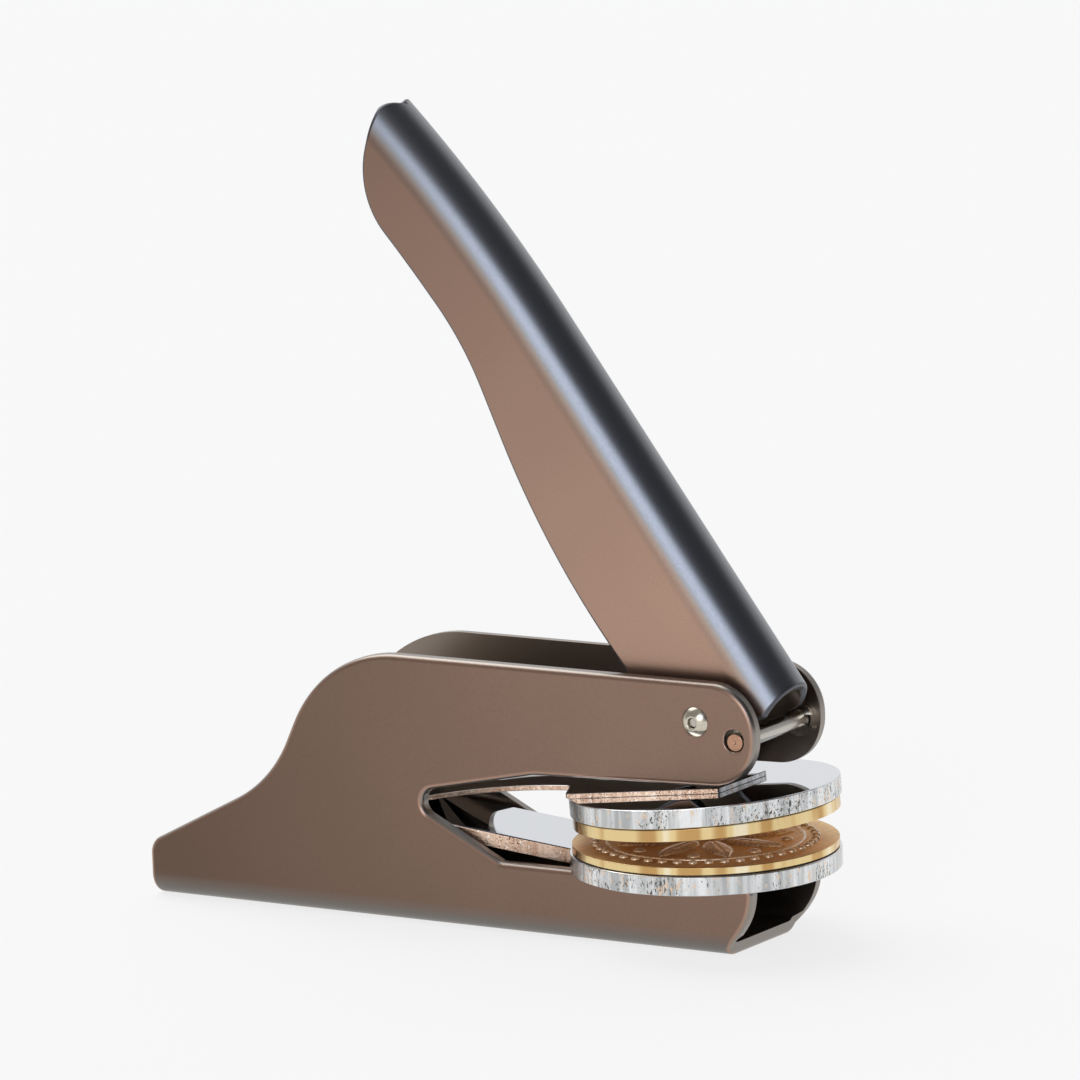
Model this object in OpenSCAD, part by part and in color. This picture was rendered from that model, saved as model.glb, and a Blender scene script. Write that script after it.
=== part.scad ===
// Hand-held seal embosser: a folded sheet frame with a lever handle above
// and a slide-in die holder of two spring-joined round platens in its throat.
// Millimetres. X runs forward to the jaws, Y across, Z up.
// The origin is where the axis of the dies meets the surface that it stands on.

/* [Frame] */
// Outer width of the folded frame
frame_w = 22; // [18:0.5:30]
// Thickness of the frame's sheet
frame_sheet = 2; // [1.2:0.1:2.5]
// Outer radius of the two long bends under the frame
bend_r = 3.5; // [2.6:0.1:5]
// Height of the upper jaw at its front end
upper_jaw_deep = 15.9; // [15.6:0.1:18]
// Distance from the die axis back to the tail
tail_reach = 97.4; // [90:0.2:115]
// Height of the tail's corner
tail_h = 8.7; // [6:0.1:11]
// Slope of the tail, in degrees
tail_angle = 26.5; // [22:0.5:30]
// Distance from the die axis back to the hump's corner
hump_reach = 62.9; // [60:0.1:66]
// Slope of the hump's back, in degrees
hump_angle = 64; // [58:0.5:70]
// Radius of the hump and of the hollow behind it
hump_r = 22; // [14:0.5:24]
// Height of the lower jaw's top edge
lower_jaw_h = 11.3; // [9:0.1:12]
// Distance from the die axis forward to the end of the lower jaw
lower_jaw_reach = 14.6; // [12:0.1:17]
// Distance from the die axis forward to the front edge of the base
base_reach = 9.9; // [6:0.1:11]
// Distance from the die axis forward to the end of the upper jaw
jaw_reach = 15.8; // [15:0.1:18]
// Clearance of the upper jaw's lower edge above the upper platen, on the die axis
jaw_clear = 2.5; // [2.3:0.1:3.6]
// Rise of the upper jaw's lower edge to the front, in degrees
jaw_rise = 1.65; // [0:0.05:2.5]
// Distance from the die axis back to the bend in the throat's upper edge
throat_knee_back = 24.3; // [20:0.1:30]
// Distance from the die axis back to the bend in the throat's lower edge
throat_foot_back = 30.9; // [28:0.1:34]
// Slope of the throat's upper edge behind its bend, in degrees
throat_roof_angle = 11.4; // [9:0.1:13]
// Slope of the throat's lower edge behind its bend, in degrees
throat_floor_angle = 26.4; // [23:0.1:30]
// Radius at the back of the throat
throat_r = 2.2; // [1:0.1:3]

/* [Pivot and stop pin] */
// Distance of the handle's pivot forward of the die axis
pivot_x = 5.4; // [4.6:0.1:6.2]
// Depth of the handle's pivot below the frame's top edge
pivot_drop = 6.2; // [5.8:0.1:6.8]
// Diameter of the pivot rivets' heads
rivet_head_d = 4.7; // [4.2:0.1:6]
// Height of the pivot rivets' domed heads
rivet_head_h = 1.1; // [0.8:0.1:1.6]
// Diameter of the pivot rivets' bodies
rivet_d = 3.2; // [2.6:0.1:3.6]
// Diameter of the washers between the frame and the handle
washer_d = 7; // [5:0.1:7.4]
// Diameter of the stop pin
pin_d = 2.8; // [2.2:0.1:3]
// Diameter of the stop pin's holes in the frame
pin_hole_d = 3.5; // [3.2:0.1:3.8]
// Distance of the stop pin forward of the pivot
pin_forward = 6.8; // [6.6:0.05:7.2]
// Distance of the stop pin below the pivot
pin_below = 2.7; // [2.4:0.05:3]
// Diameter of the retaining rings on the stop pin
ring_d = 5.2; // [4.4:0.1:5.8]
// Thickness of the retaining rings
ring_t = 0.6; // [0.4:0.05:0.7]

/* [Handle] */
// Gap between each wall of the frame and the handle
wall_gap = 2.7; // [1.5:0.05:3.2]
// Thickness of the handle's sheet
handle_sheet = 1.5; // [1:0.1:1.8]
// Slope of the handle's back at rest, in degrees
back_angle = 53.5; // [52:0.1:55]
// Length of the straight stretch of the handle's back
back_straight = 68; // [62:0.5:80]
// Radius of the bowed stretch of the handle's back
bow_r = 265; // [220:5:400]
// Length of the bowed stretch of the handle's back
bow_length = 44.6; // [34:0.2:46]
// Diameter of the round boss about the pivot
boss_d = 10; // [9:0.1:10.4]
// Turn of the handle from rest until the dies meet, in degrees
handle_travel = 40; // [36:1:42]

/* [Die holder] */
// Diameter of the two round platens
platen_d = 42; // [41.4:0.1:44]
// Thickness of the two round platens
platen_t = 3; // [2.4:0.1:3.2]
// Thickness of the lower arm
tongue_t = 2.4; // [1.8:0.1:2.6]
// Width of the lower arm
tongue_w = 15.2; // [12:0.1:16]
// Slope of the lower arm down to the front, in degrees
tongue_slope = 5.1; // [4.6:0.1:5.6]
// Thickness of the upper spring arm
arm_t = 0.8; // [0.6:0.05:1]
// Width of the upper spring arm
arm_w = 14; // [11:0.1:15]
// Slope of the upper platen at rest, in degrees
arm_tilt = 4.06; // [3.9:0.02:4.2]
// Gap between the two dies on their axis at rest
die_gap = 3.59; // [3.4:0.01:3.7]
// Turn of the upper arm from rest until the dies meet, in degrees
arm_travel = 3.6; // [3.4:0.05:3.6]
// Distance from the die axis back to the spring arm's bend
heel_back = 54; // [50:0.5:56]
// Distance from the die axis back to the end of the heel
heel_end_back = 68; // [66:0.5:72]

/* [Dies] */
// How far the rims of the brass dies sit inside the platens' rims
die_step = 0.35; // [0.2:0.05:1]
// Thickness of the lower die
lower_die_t = 1.2; // [0.9:0.05:1.3]
// Thickness of the upper die
upper_die_t = 1.85; // [1.5:0.05:1.9]
// Thickness of the adhesive film behind each die
bond_t = 0.15; // [0.05:0.01:0.2]
// Height of the lower die's raised design
relief_h = 0.45; // [0.2:0.05:0.5]
// Diameter of the circle of beads on the lower die
bead_circle_d = 34; // [31:0.5:35]
// Number of beads
bead_count = 44; // [24:1:52]
// Number of petals in each ring of the rosette
petal_count = 8; // [5:1:10]

/* [Hidden] */
$fn = 48;

bronze = "#7b675b";
nickel = "#cfc9ba";
steel = "#b9b9bb";
chrome = "#d9dbde";
brass = "#c9a050";
dark = "#23252b";
nylon = "#2c2c2e";

arc_step = 7.5; // most degrees between the points of a rounded corner
arc_chord = 3.2; // longest straight stretch in a rounded corner
slip = 0.05; // radial clearance of a turning fit
snug = 0.02; // radial clearance of a fixed fit
rest_gap = 0.1; // clearance between faces that rest on each other
over = 1; // how far a cutting shape runs past what it cuts

// ---- outlines -------------------------------------------------------------

function unit(v) = v / norm(v);
function polar(r, a) = [r * cos(a), r * sin(a)];
function wrapped(a) = a > 180 ? a - 360 : a < -180 ? a + 360 : a;

// Points of an arc about c, from angle a0 through the angle sweep
function arc(c, r, a0, sweep) =
  let (turn = abs(sweep))
  let (n = max(1, ceil(turn / arc_step), ceil(turn * PI / 180 * r / arc_chord)))
  [for (i = [0:n]) c + polar(r, a0 + sweep * i / n)];

// Points that round the corner p between a and b to the radius r
function corner(a, p, b, r) =
  let (u = unit(a - p))
  let (v = unit(b - p))
  let (half = acos(u * v) / 2)
  let (c = p + unit(u + v) * r / sin(half))
  let (s = p + u * r / tan(half) - c)
  let (e = p + v * r / tan(half) - c)
  let (start = atan2(s.y, s.x))
  arc(c, r, start, wrapped(atan2(e.y, e.x) - start));

// Outline through corners given as [x, y, radius]
function rounded(pts) =
  let (n = len(pts))
  [for (i = [0:n - 1])
    let (p = pts[i])
    let (a = pts[(i + n - 1) % n])
    let (b = pts[(i + 1) % n])
    each p[2] == 0
      ? [[p.x, p.y]]
      : corner([a.x, a.y], [p.x, p.y], [b.x, b.y], p[2])];

// Where two lines meet, each given by a point and a slope in degrees
function meet(p, a, q, b) =
  let (x = (q.y - p.y + tan(a) * p.x - tan(b) * q.x) / (tan(a) - tan(b)))
  [x, p.y + tan(a) * (x - p.x)];

// A shape drawn in the side view (X, Z), made w wide across Y
module across(w) {
  rotate([90, 0, 0]) linear_extrude(height = w, center = true) children();
}

// A rod along Y between two places
module rod(d, y0, y1) {
  translate([0, y1, 0]) rotate([90, 0, 0]) cylinder(d = d, h = y1 - y0);
}

// The same piece on both sides of the middle plane
module both_sides() {
  children();
  mirror([0, 1, 0]) children();
}

// ---- shared places --------------------------------------------------------

inner_w = frame_w - 2 * frame_sheet;
handle_w = inner_w - 2 * wall_gap; // outer width of the handle's channel
handle_edge_r = handle_w / 2 - 0.1; // the handle's back is all but a half circle

// The stack of platens and dies sets the heights of all that stands above it
die_d = platen_d - 2 * die_step;
platen_rest = lower_jaw_h + slip;
lower_top = platen_rest + platen_t;
lower_face = lower_top + bond_t + lower_die_t;
arm_h = lower_face + die_gap + (platen_t + bond_t + upper_die_t) / cos(arm_tilt);
jaw_bottom_h = arm_h + jaw_clear;
jaw_end_r = upper_jaw_deep / 2 - 0.15; // the upper jaw's end is all but a half circle
frame_h = jaw_bottom_h + upper_jaw_deep;
pivot = [pivot_x, frame_h - pivot_drop];

jaw_rise_start = jaw_bottom_h - tan(jaw_rise) * (jaw_reach + throat_knee_back);
throat_knee = [-throat_knee_back, jaw_rise_start];
throat_foot = [-throat_foot_back, lower_jaw_h];
throat_tip = meet(throat_knee, throat_roof_angle, throat_foot, -throat_floor_angle);
hump_corner = [-hump_reach, frame_h];
hollow_corner = meet([-tail_reach, tail_h], tail_angle, hump_corner, hump_angle);

pin = pivot + [pin_forward, -pin_below];
washer_t = wall_gap - rest_gap;

tongue_front = platen_d / 2 - 2;
function tongue_under(x) = platen_rest - tan(tongue_slope) * (x + tongue_front);
function tongue_top(x) = tongue_under(x) + tongue_t / cos(tongue_slope);
heel = [-heel_back, tongue_top(-heel_back)];

// The upper arm bends about the middle of its sheet at the heel
arm_axis = [heel.x, heel.y + arm_t / 2 + slip];
head_back = platen_d / 2 + 0.5; // where the spring arm becomes the flat head
head_join = [0, arm_h] - polar(head_back, arm_tilt) + polar(arm_t / 2, 90 + arm_tilt);

// ---- frame ----------------------------------------------------------------

lip_inset = 0.6; // how far the lower jaw's front leans out above the waist
lip_share = 0.58; // height of that waist as a share of the jaw's height

function frame_outline() = rounded([
  [base_reach, 0, 0],
  [base_reach, frame_sheet / 2, 0],
  [lower_jaw_reach - lip_inset, lower_jaw_h * lip_share, 10],
  [lower_jaw_reach, lower_jaw_h, 1.2],
  [throat_foot.x, throat_foot.y, 2],
  [throat_tip.x, throat_tip.y, throat_r],
  [throat_knee.x, throat_knee.y, 12],
  [jaw_reach, jaw_bottom_h, jaw_end_r],
  [jaw_reach, frame_h, jaw_end_r],
  [hump_corner.x, hump_corner.y, hump_r],
  [hollow_corner.x, hollow_corner.y, hump_r],
  [-tail_reach, tail_h, 3],
  [-tail_reach, 0, 0]]);

// End view of a channel with round bends at the bottom
module channel_end(w, h, r) {
  translate([-w / 2, r]) square([w, h]);
  translate([-w / 2 + r, 0]) square([w - 2 * r, h]);
  for (side = [-1, 1]) translate([side * (w / 2 - r), r]) circle(r);
}

block_screw_x = -(heel_back + 10);
screw_d = 3;
screw_head_d = 5.4;
screw_head_h = 1.2;
screw_l = 10.2; // length with its head
screw_recess = 0.15; // how far the screw's head sits inside the base

module frame() {
  color(bronze) difference() {
    intersection() {
      across(frame_w + over) polygon(frame_outline());
      translate([-tail_reach - over, 0, 0]) rotate([90, 0, 90])
        linear_extrude(height = tail_reach + jaw_reach + 2 * over) difference() {
          channel_end(frame_w, frame_h, bend_r);
          translate([0, frame_sheet])
            channel_end(inner_w, frame_h + over, bend_r - frame_sheet);
        }
    }
    translate([pivot.x, 0, pivot.y]) rod(rivet_d + 2 * snug, -frame_w, frame_w);
    translate([pin.x, 0, pin.y + pin_sag]) rod(pin_hole_d, -frame_w, frame_w);
    translate([block_screw_x, 0, -over]) cylinder(d = screw_d + 2 * slip, h = 2 * frame_sheet);
    translate([block_screw_x, 0, 0])
      cylinder(d1 = screw_head_d + 0.4, d2 = screw_d + 2 * slip, h = screw_head_h + screw_recess);
  }
}

// ---- pivot ----------------------------------------------------------------

rivet_grip = frame_sheet + wall_gap + handle_sheet;
rivet_bulb_d = rivet_d + 0.9;
rivet_bulb_l = 1.6;
stem_d = 1.5;
head_sphere_r = (pow(rivet_head_d / 2, 2) + pow(rivet_head_h, 2)) / (2 * rivet_head_h);

module pivot_rivet() {
  translate([pivot.x, -frame_w / 2, pivot.y]) difference() {
    union() {
      intersection() {
        translate([0, head_sphere_r - rivet_head_h, 0]) sphere(head_sphere_r);
        rod(rivet_head_d + over, -rivet_head_h - over, 0);
      }
      rod(rivet_d, 0, rivet_grip + rest_gap);
      translate([0, rivet_grip + rest_gap, 0]) rod(rivet_bulb_d, 0, rivet_bulb_l);
    }
    rod(stem_d + 2 * snug, -rivet_head_h - over, rivet_grip + rivet_bulb_l + over);
  }
}

module pivot_rivets() {
  color(nickel) both_sides() pivot_rivet();
}

module rivet_stems() {
  stem_sink = 0.6; // how deep the snapped stem sits in the head
  color(steel) both_sides()
    translate([pivot.x, -frame_w / 2 - rivet_head_h + stem_sink, pivot.y])
      rod(stem_d, 0, rivet_head_h - stem_sink + rivet_grip + rivet_bulb_l + 0.8);
}

module pivot_washers() {
  color(steel) both_sides()
    translate([pivot.x, -inner_w / 2, pivot.y]) difference() {
      rod(washer_d, 0, washer_t);
      rod(rivet_d + 2 * snug, -over, washer_t + over);
    }
}

// ---- stop pin -------------------------------------------------------------

pin_sag = (pin_hole_d - pin_d) / 2 - slip; // the pin lies in the bottom of its holes
pin_end_inset = 0.3; // how far the pin's ends sit inside the frame's faces
groove_d = pin_d - 0.7;
ring_y = inner_w / 2 - rest_gap - ring_t;

module stop_pin() {
  half = frame_w / 2 - pin_end_inset;
  color(steel) translate([pin.x, 0, pin.y]) {
    rod(pin_d, -ring_y + slip, ring_y - slip);
    both_sides() {
      rod(groove_d, -half, -ring_y + over);
      rod(pin_d, -half, -ring_y - ring_t - slip);
    }
  }
}

module stop_pin_rings() {
  color(nickel) both_sides()
    translate([pin.x, -ring_y - ring_t, pin.y]) difference() {
      rod(ring_d, 0, ring_t);
      rod(groove_d + 2 * snug, -over, ring_t + over);
      translate([0, -over, -groove_d / 2 + 0.15]) cube([ring_d, ring_t + 2 * over, groove_d - 0.3]);
    }
}

// ---- handle ---------------------------------------------------------------

back_dir = polar(1, 180 - back_angle);
back_out = polar(1, 90 - back_angle);
boss_r = boss_d / 2;
mouth_out = 12.55; // from the pivot to the mouth's top corner, square to the back
mouth_down = 3.53; // the same, down along the back
mouth_top = pivot + back_out * mouth_out - back_dir * mouth_down;
bow_start = mouth_top + back_dir * back_straight;
bow_centre = bow_start - back_out * bow_r;
bow_angle = bow_length / bow_r * 180 / PI;
tip = bow_centre + polar(bow_r, 90 - back_angle + bow_angle);

// The cam: an involute whose reach grows steadily as the handle turns, so that
// the head under it goes down with the handle at a constant ratio.
head_normal = 90 + arm_tilt;
axis_to_pivot = pivot - arm_axis;
head_height = ([0, arm_h] - arm_axis) * polar(1, head_normal) + arm_t;
function cam_gap(turn) =
  axis_to_pivot * polar(1, head_normal - arm_travel * turn) - head_height;
cam_start = head_normal + 180;
cam_sweep = handle_travel + arm_travel;
cam_reach = cam_gap(0) - rest_gap;
cam_gain = cam_gap(1) - cam_gap(0);
cam_rate = cam_gain / (cam_sweep * PI / 180);
function cam_point(t) =
  let (a = cam_start - cam_sweep * t)
  pivot + polar(cam_reach + cam_gain * t, a) - polar(cam_rate, a + 90);

// The round boss in front of the cam
boss_start = -62;
boss_sweep = 30;

// The wall's stop edge touches the pin from above
pin_clear = pin_d / 2 + rest_gap;
mouth_lean = [2.9, 4.1]; // from the mouth's top corner to the stop edge's end
stop_corner = mouth_top - mouth_lean;
to_pin = pin - stop_corner;
stop_angle = atan2(to_pin.y, to_pin.x) + 360 - asin(pin_clear / norm(to_pin));
stop_inner = stop_corner + polar(norm(to_pin) + 1, stop_angle);

tip_r = 2.4; // length of the tip's rounding along the back
end_drop = 15.3; // from the tip down to the corner below it
end_lean = 4.2; // from the tip back to the same corner
grip_run = polar(28.5, -49.4); // from the end's corner down to the grip's hollow
waist_run = polar(34.2, -66.3); // from there to the waist above the frame
hip_run = polar(24, -52.2); // from the waist into the frame
end_r = 14; // rounding of the end's lower corner
grip_r = 55; // the grip's hollow
waist_r = 140; // the swell below it
hip_r = 4; // where the edge turns into the cam
end_corner = tip - [end_lean, end_drop];
grip_corner = end_corner + grip_run;
waist_corner = grip_corner + waist_run;
hip_corner = waist_corner + hip_run;

function handle_outline() = concat(
  [mouth_top],
  arc(bow_centre, bow_r, 90 - back_angle, bow_angle - 2 * tip_r / bow_r * 180 / PI),
  corner(tip - polar(tip_r, 180 - back_angle + bow_angle), tip, end_corner, tip_r / 2),
  corner(tip, end_corner, grip_corner, end_r),
  corner(end_corner, grip_corner, waist_corner, grip_r),
  corner(grip_corner, waist_corner, hip_corner, waist_r),
  corner(waist_corner, hip_corner, cam_point(1), hip_r),
  [for (i = [0:12]) cam_point(1 - i / 12)],
  arc(pivot, boss_r, boss_start, boss_sweep),
  [stop_inner],
  corner(stop_inner, stop_corner, mouth_top, 0.8));

// End view of the handle's channel, its back at x = 0 and its walls along -x
module handle_section(depth) {
  module solid_end(w, r, inset) {
    translate([-inset - r - depth, -w / 2]) square([depth, w]);
    translate([-inset - depth, -w / 2 + r]) square([depth, w - 2 * r]);
    for (side = [-1, 1]) translate([-inset - r, side * (w / 2 - r)]) circle(r);
  }
  difference() {
    solid_end(handle_w, handle_edge_r, 0);
    solid_end(handle_w - 2 * handle_sheet, handle_edge_r - handle_sheet, handle_sheet);
  }
}

module handle() {
  depth = 42; // deep enough for the walls anywhere on the handle
  straight_l = back_straight + 8; // runs on below the mouth's corner, for the cams
  color(bronze) difference() {
    intersection() {
      across(handle_w + over) polygon(handle_outline());
      // drawn with the end of the straight stretch as the origin
      translate([bow_start.x, 0, bow_start.y]) rotate([0, back_angle - 90, 0]) union() {
        translate([0, 0, -straight_l]) linear_extrude(height = straight_l) handle_section(depth);
        translate([-bow_r, 0, 0]) rotate([90, 0, 0])
          rotate_extrude(angle = bow_angle + 2, $fn = 360)
            translate([bow_r, 0]) handle_section(depth);
      }
    }
    translate([pivot.x, 0, pivot.y]) rod(rivet_d + 2 * slip, -handle_w, handle_w);
  }
}

// ---- lower half of the die holder -----------------------------------------

heel_rivet_d = 2.5;
heel_rivet_xs = [-heel_back - 3.5, -heel_back - 9.5];

function tongue_outline() = [
  [-tongue_front, tongue_under(-tongue_front)],
  [-tongue_front, tongue_top(-tongue_front)],
  [-heel_end_back, tongue_top(-heel_end_back)],
  [-heel_end_back, tongue_under(-heel_end_back)]];

module heel_rivet_holes() {
  for (x = heel_rivet_xs) translate([x, 0, tongue_under(x)]) rotate([0, tongue_slope, 0])
    translate([0, 0, -over]) cylinder(d = heel_rivet_d + 2 * snug, h = tongue_t + arm_t + 3 * over);
}

module lower_platen() {
  color(chrome) difference() {
    union() {
      translate([0, 0, platen_rest]) cylinder(d = platen_d, h = platen_t, $fn = 96);
      intersection() {
        across(tongue_w) polygon(tongue_outline());
        translate([-heel_end_back, -tongue_w / 2, 0]) linear_extrude(height = frame_h)
          polygon(rounded([
            [0, 0, 3], [heel_end_back, 0, 0], [heel_end_back, tongue_w, 0], [0, tongue_w, 3]]));
      }
      // the tongue's root, as thick as the platen
      intersection() {
        translate([-tongue_front - 0.5, -tongue_w / 2, platen_rest])
          cube([tongue_front, tongue_w, platen_t]);
        translate([0, 0, platen_rest]) cylinder(d = platen_d, h = platen_t, $fn = 96);
      }
    }
    heel_rivet_holes();
  }
}

module lower_die_bond() {
  color(dark) translate([0, 0, lower_top]) cylinder(d = die_d - 0.4, h = bond_t, $fn = 96);
}

// A leaf-shaped petal, the overlap of two discs, with its root at the origin
module petal(length, width, h) {
  r = (pow(length / 2, 2) + pow(width / 2, 2)) / width;
  intersection() {
    translate([length / 2, r - width / 2, 0]) cylinder(r = r, h = h, $fn = 64);
    translate([length / 2, width / 2 - r, 0]) cylinder(r = r, h = h, $fn = 64);
  }
}

module die_design() {
  bead_d = 1.5;
  ring_w = 0.5;
  for (i = [0:bead_count - 1]) rotate([0, 0, 360 * i / bead_count])
    translate([bead_circle_d / 2, 0, 0]) intersection() {
      translate([0, 0, relief_h - bead_d / 2]) sphere(d = bead_d, $fn = 24);
      translate([0, 0, -0.2]) cylinder(d = bead_d, h = relief_h + 0.2, $fn = 24);
    }
  difference() {
    cylinder(d = bead_circle_d - 3, h = relief_h / 2, $fn = 96);
    translate([0, 0, -over]) cylinder(d = bead_circle_d - 3 - 2 * ring_w, h = 2 * over, $fn = 96);
  }
  for (i = [0:petal_count - 1]) {
    rotate([0, 0, 360 * i / petal_count]) translate([2.6, 0, 0])
      petal(bead_circle_d / 2 - 5.6, 4.4, relief_h);
    rotate([0, 0, 360 * (i + 0.5) / petal_count]) translate([bead_circle_d / 2 - 4.4, 0, 0])
      cylinder(d = 2, h = relief_h, $fn = 24);
  }
  cylinder(d = 3.6, h = relief_h, $fn = 32);
}

module lower_die() {
  color(brass) union() {
    translate([0, 0, lower_top + bond_t]) cylinder(d = die_d, h = lower_die_t, $fn = 96);
    translate([0, 0, lower_face]) die_design();
  }
}

// ---- upper half of the die holder -----------------------------------------

// Places what is drawn on the upper platen's top face
module on_upper() {
  translate([0, 0, arm_h]) rotate([0, -arm_tilt, 0]) children();
}

// The bowed stretch between the heel and the head
bow_mean = atan2(head_join.y - arm_axis.y, head_join.x - arm_axis.x);
bow_heel_angle = 2 * bow_mean - arm_tilt;
arm_bow_r = (head_join.x - arm_axis.x) / (sin(bow_heel_angle) - sin(arm_tilt));
arm_bow_centre = head_join - polar(arm_bow_r, 90 + arm_tilt);

function arm_outline() = concat(
  arc(arm_bow_centre, arm_bow_r + arm_t / 2, 90 + arm_tilt, bow_heel_angle - arm_tilt),
  [for (i = [1:5]) arm_axis + polar(arm_t / 2, 90 + bow_heel_angle + 30 * i)],
  arc(arm_bow_centre, arm_bow_r - arm_t / 2, 90 + bow_heel_angle, arm_tilt - bow_heel_angle));

// The flat end of the arm that is clamped on the tongue by the heel rivets
function arm_heel_outline() =
  let (front = arm_axis.x - arm_t / 2 - rest_gap)
  let (back = 2 - heel_end_back)
  [[front, tongue_top(front)], [front, tongue_top(front) + arm_t],
   [back, tongue_top(back) + arm_t], [back, tongue_top(back)]];

neck_back = 20; // where the head begins to widen
// One side of the flat head, from its neck round its shoulder to its front corner
head_side = [
  [-head_back - 1, arm_w / 2, 0], [-neck_back, arm_w / 2, 0], [-16.8, 13.6, 1.5], [7, 7.2, 0.5]];
head_outline = rounded(concat(
  head_side, [for (i = [len(head_side) - 1:-1:0])
    [head_side[i].x, -head_side[i].y, head_side[i][2]]]));

platen_rivet_d = 2.6;
platen_rivet_xs = [-12, -4, 3.5];

module platen_rivet_holes() {
  for (x = platen_rivet_xs) translate([x, 0, -platen_t - over])
    cylinder(d = platen_rivet_d + 2 * snug, h = platen_t + arm_t + 2 * over, $fn = 32);
}

module spring_arm() {
  color(chrome) difference() {
    union() {
      across(arm_w) polygon(arm_outline());
      on_upper() linear_extrude(height = arm_t) polygon(head_outline);
    }
    on_upper() platen_rivet_holes();
  }
}

module arm_heel() {
  color(chrome) difference() {
    across(arm_w) polygon(arm_heel_outline());
    heel_rivet_holes();
  }
}

module upper_platen() {
  color(chrome) on_upper() difference() {
    translate([0, 0, -platen_t]) cylinder(d = platen_d, h = platen_t, $fn = 96);
    platen_rivet_holes();
  }
}

module platen_rivets() {
  color(steel) on_upper() for (x = platen_rivet_xs) translate([x, 0, -platen_t + snug])
    cylinder(d = platen_rivet_d, h = platen_t + arm_t - 2 * snug, $fn = 32);
}

module upper_die_bond() {
  color(dark) on_upper() translate([0, 0, -platen_t - bond_t])
    cylinder(d = die_d - 0.4, h = bond_t, $fn = 96);
}

module upper_die() {
  hollow_d = bead_circle_d + 3.4;
  hollow_depth = relief_h + 0.15;
  color(brass) on_upper() translate([0, 0, -platen_t - bond_t - upper_die_t]) difference() {
    cylinder(d = die_d, h = upper_die_t, $fn = 96);
    translate([0, 0, -over]) cylinder(d = hollow_d, h = hollow_depth + over, $fn = 96);
  }
}

module heel_rivets() {
  head_d = heel_rivet_d + 1.6;
  head_h = 0.6;
  color(nickel) for (x = heel_rivet_xs) translate([x, 0, tongue_under(x)])
    rotate([0, tongue_slope, 0]) {
      translate([0, 0, snug]) cylinder(d = heel_rivet_d, h = tongue_t + arm_t);
      translate([0, 0, tongue_t + arm_t]) cylinder(d1 = head_d, d2 = head_d - 0.8, h = head_h);
    }
}

// ---- guide and latch inside the frame --------------------------------------

block_front = -heel_back - 3;
block_back = -heel_end_back - 5;
block_shelf = -heel_end_back - 0.3; // the step that the holder's end stops on
block_top = tongue_top(-heel_end_back) + arm_t + 1.1;
latch_screw_x = block_back + 2.4;
latch_screw_d = 2;
latch_screw_l = 6; // how deep it goes into the block

function block_outline() = [
  [block_front, frame_sheet],
  [block_front, tongue_under(block_front) - rest_gap],
  [block_shelf, tongue_under(block_shelf) - rest_gap],
  [block_shelf, block_top],
  [block_back, block_top],
  [block_back, frame_sheet]];

module heel_block() {
  color(nylon) difference() {
    across(inner_w - 2 * rest_gap) polygon(block_outline());
    // clears the inner corners of the bends
    both_sides() translate([block_back - over, inner_w / 2 - 1.8, 0])
      cube([block_front - block_back + 2 * over, 2 * over, frame_sheet + 1.8]);
    translate([block_screw_x, 0, 0]) cylinder(d = screw_d + 2 * snug, h = screw_l + over);
    translate([latch_screw_x, 0, block_top - latch_screw_l - over])
      cylinder(d = latch_screw_d + 2 * snug, h = latch_screw_l + 2 * over);
  }
}

module block_screw() {
  color(steel) translate([block_screw_x, 0, screw_recess]) {
    difference() {
      cylinder(d1 = screw_head_d, d2 = screw_d, h = screw_head_h);
      translate([0, 0, -over]) cylinder(d = 2.2, h = over + 0.8, $fn = 6);
    }
    translate([0, 0, screw_head_h]) cylinder(d = screw_d, h = screw_l - screw_head_h);
  }
}

leaf_t = 0.5;
leaf_w = 9;
leaf_end = heel_rivet_xs[1] + 1.5;
leaf_rest = tongue_top(leaf_end) + arm_t + 0.8;

module latch_spring() {
  color(steel) difference() {
    across(leaf_w) polygon([
      [block_back + 0.3, block_top], [block_shelf, block_top], [leaf_end, leaf_rest],
      [leaf_end + 1.5, leaf_rest + 1], [leaf_end + 1.5, leaf_rest + 1 + leaf_t],
      [leaf_end, leaf_rest + leaf_t], [block_shelf, block_top + leaf_t],
      [block_back + 0.3, block_top + leaf_t]]);
    translate([latch_screw_x, 0, block_top - over])
      cylinder(d = latch_screw_d + 2 * snug, h = leaf_t + 2 * over);
  }
}

module latch_screw() {
  head_d = 3.8;
  head_h = 1.2;
  color(steel) translate([latch_screw_x, 0, block_top]) {
    translate([0, 0, -latch_screw_l])
      cylinder(d = latch_screw_d, h = latch_screw_l + leaf_t);
    translate([0, 0, leaf_t]) difference() {
      cylinder(d = head_d, h = head_h);
      translate([-head_d, -0.25, head_h - 0.6]) cube([2 * head_d, 0.5, over]);
    }
  }
}

frame();
handle();
pivot_rivets();
rivet_stems();
pivot_washers();
stop_pin();
stop_pin_rings();
lower_platen();
lower_die_bond();
lower_die();
arm_heel();
spring_arm();
upper_platen();
platen_rivets();
upper_die_bond();
upper_die();
heel_rivets();
heel_block();
block_screw();
latch_spring();
latch_screw();
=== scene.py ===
"""Looks of a hand-held seal embosser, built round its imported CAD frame.

Sizes are in millimetres in this file and turn to metres where meshes are made.
X runs forward to the jaws, Y across, Z up from the surface that it stands on.
"""
import math

import bmesh
import bpy
import numpy as np
from mathutils import Matrix, Vector, geometry


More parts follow.
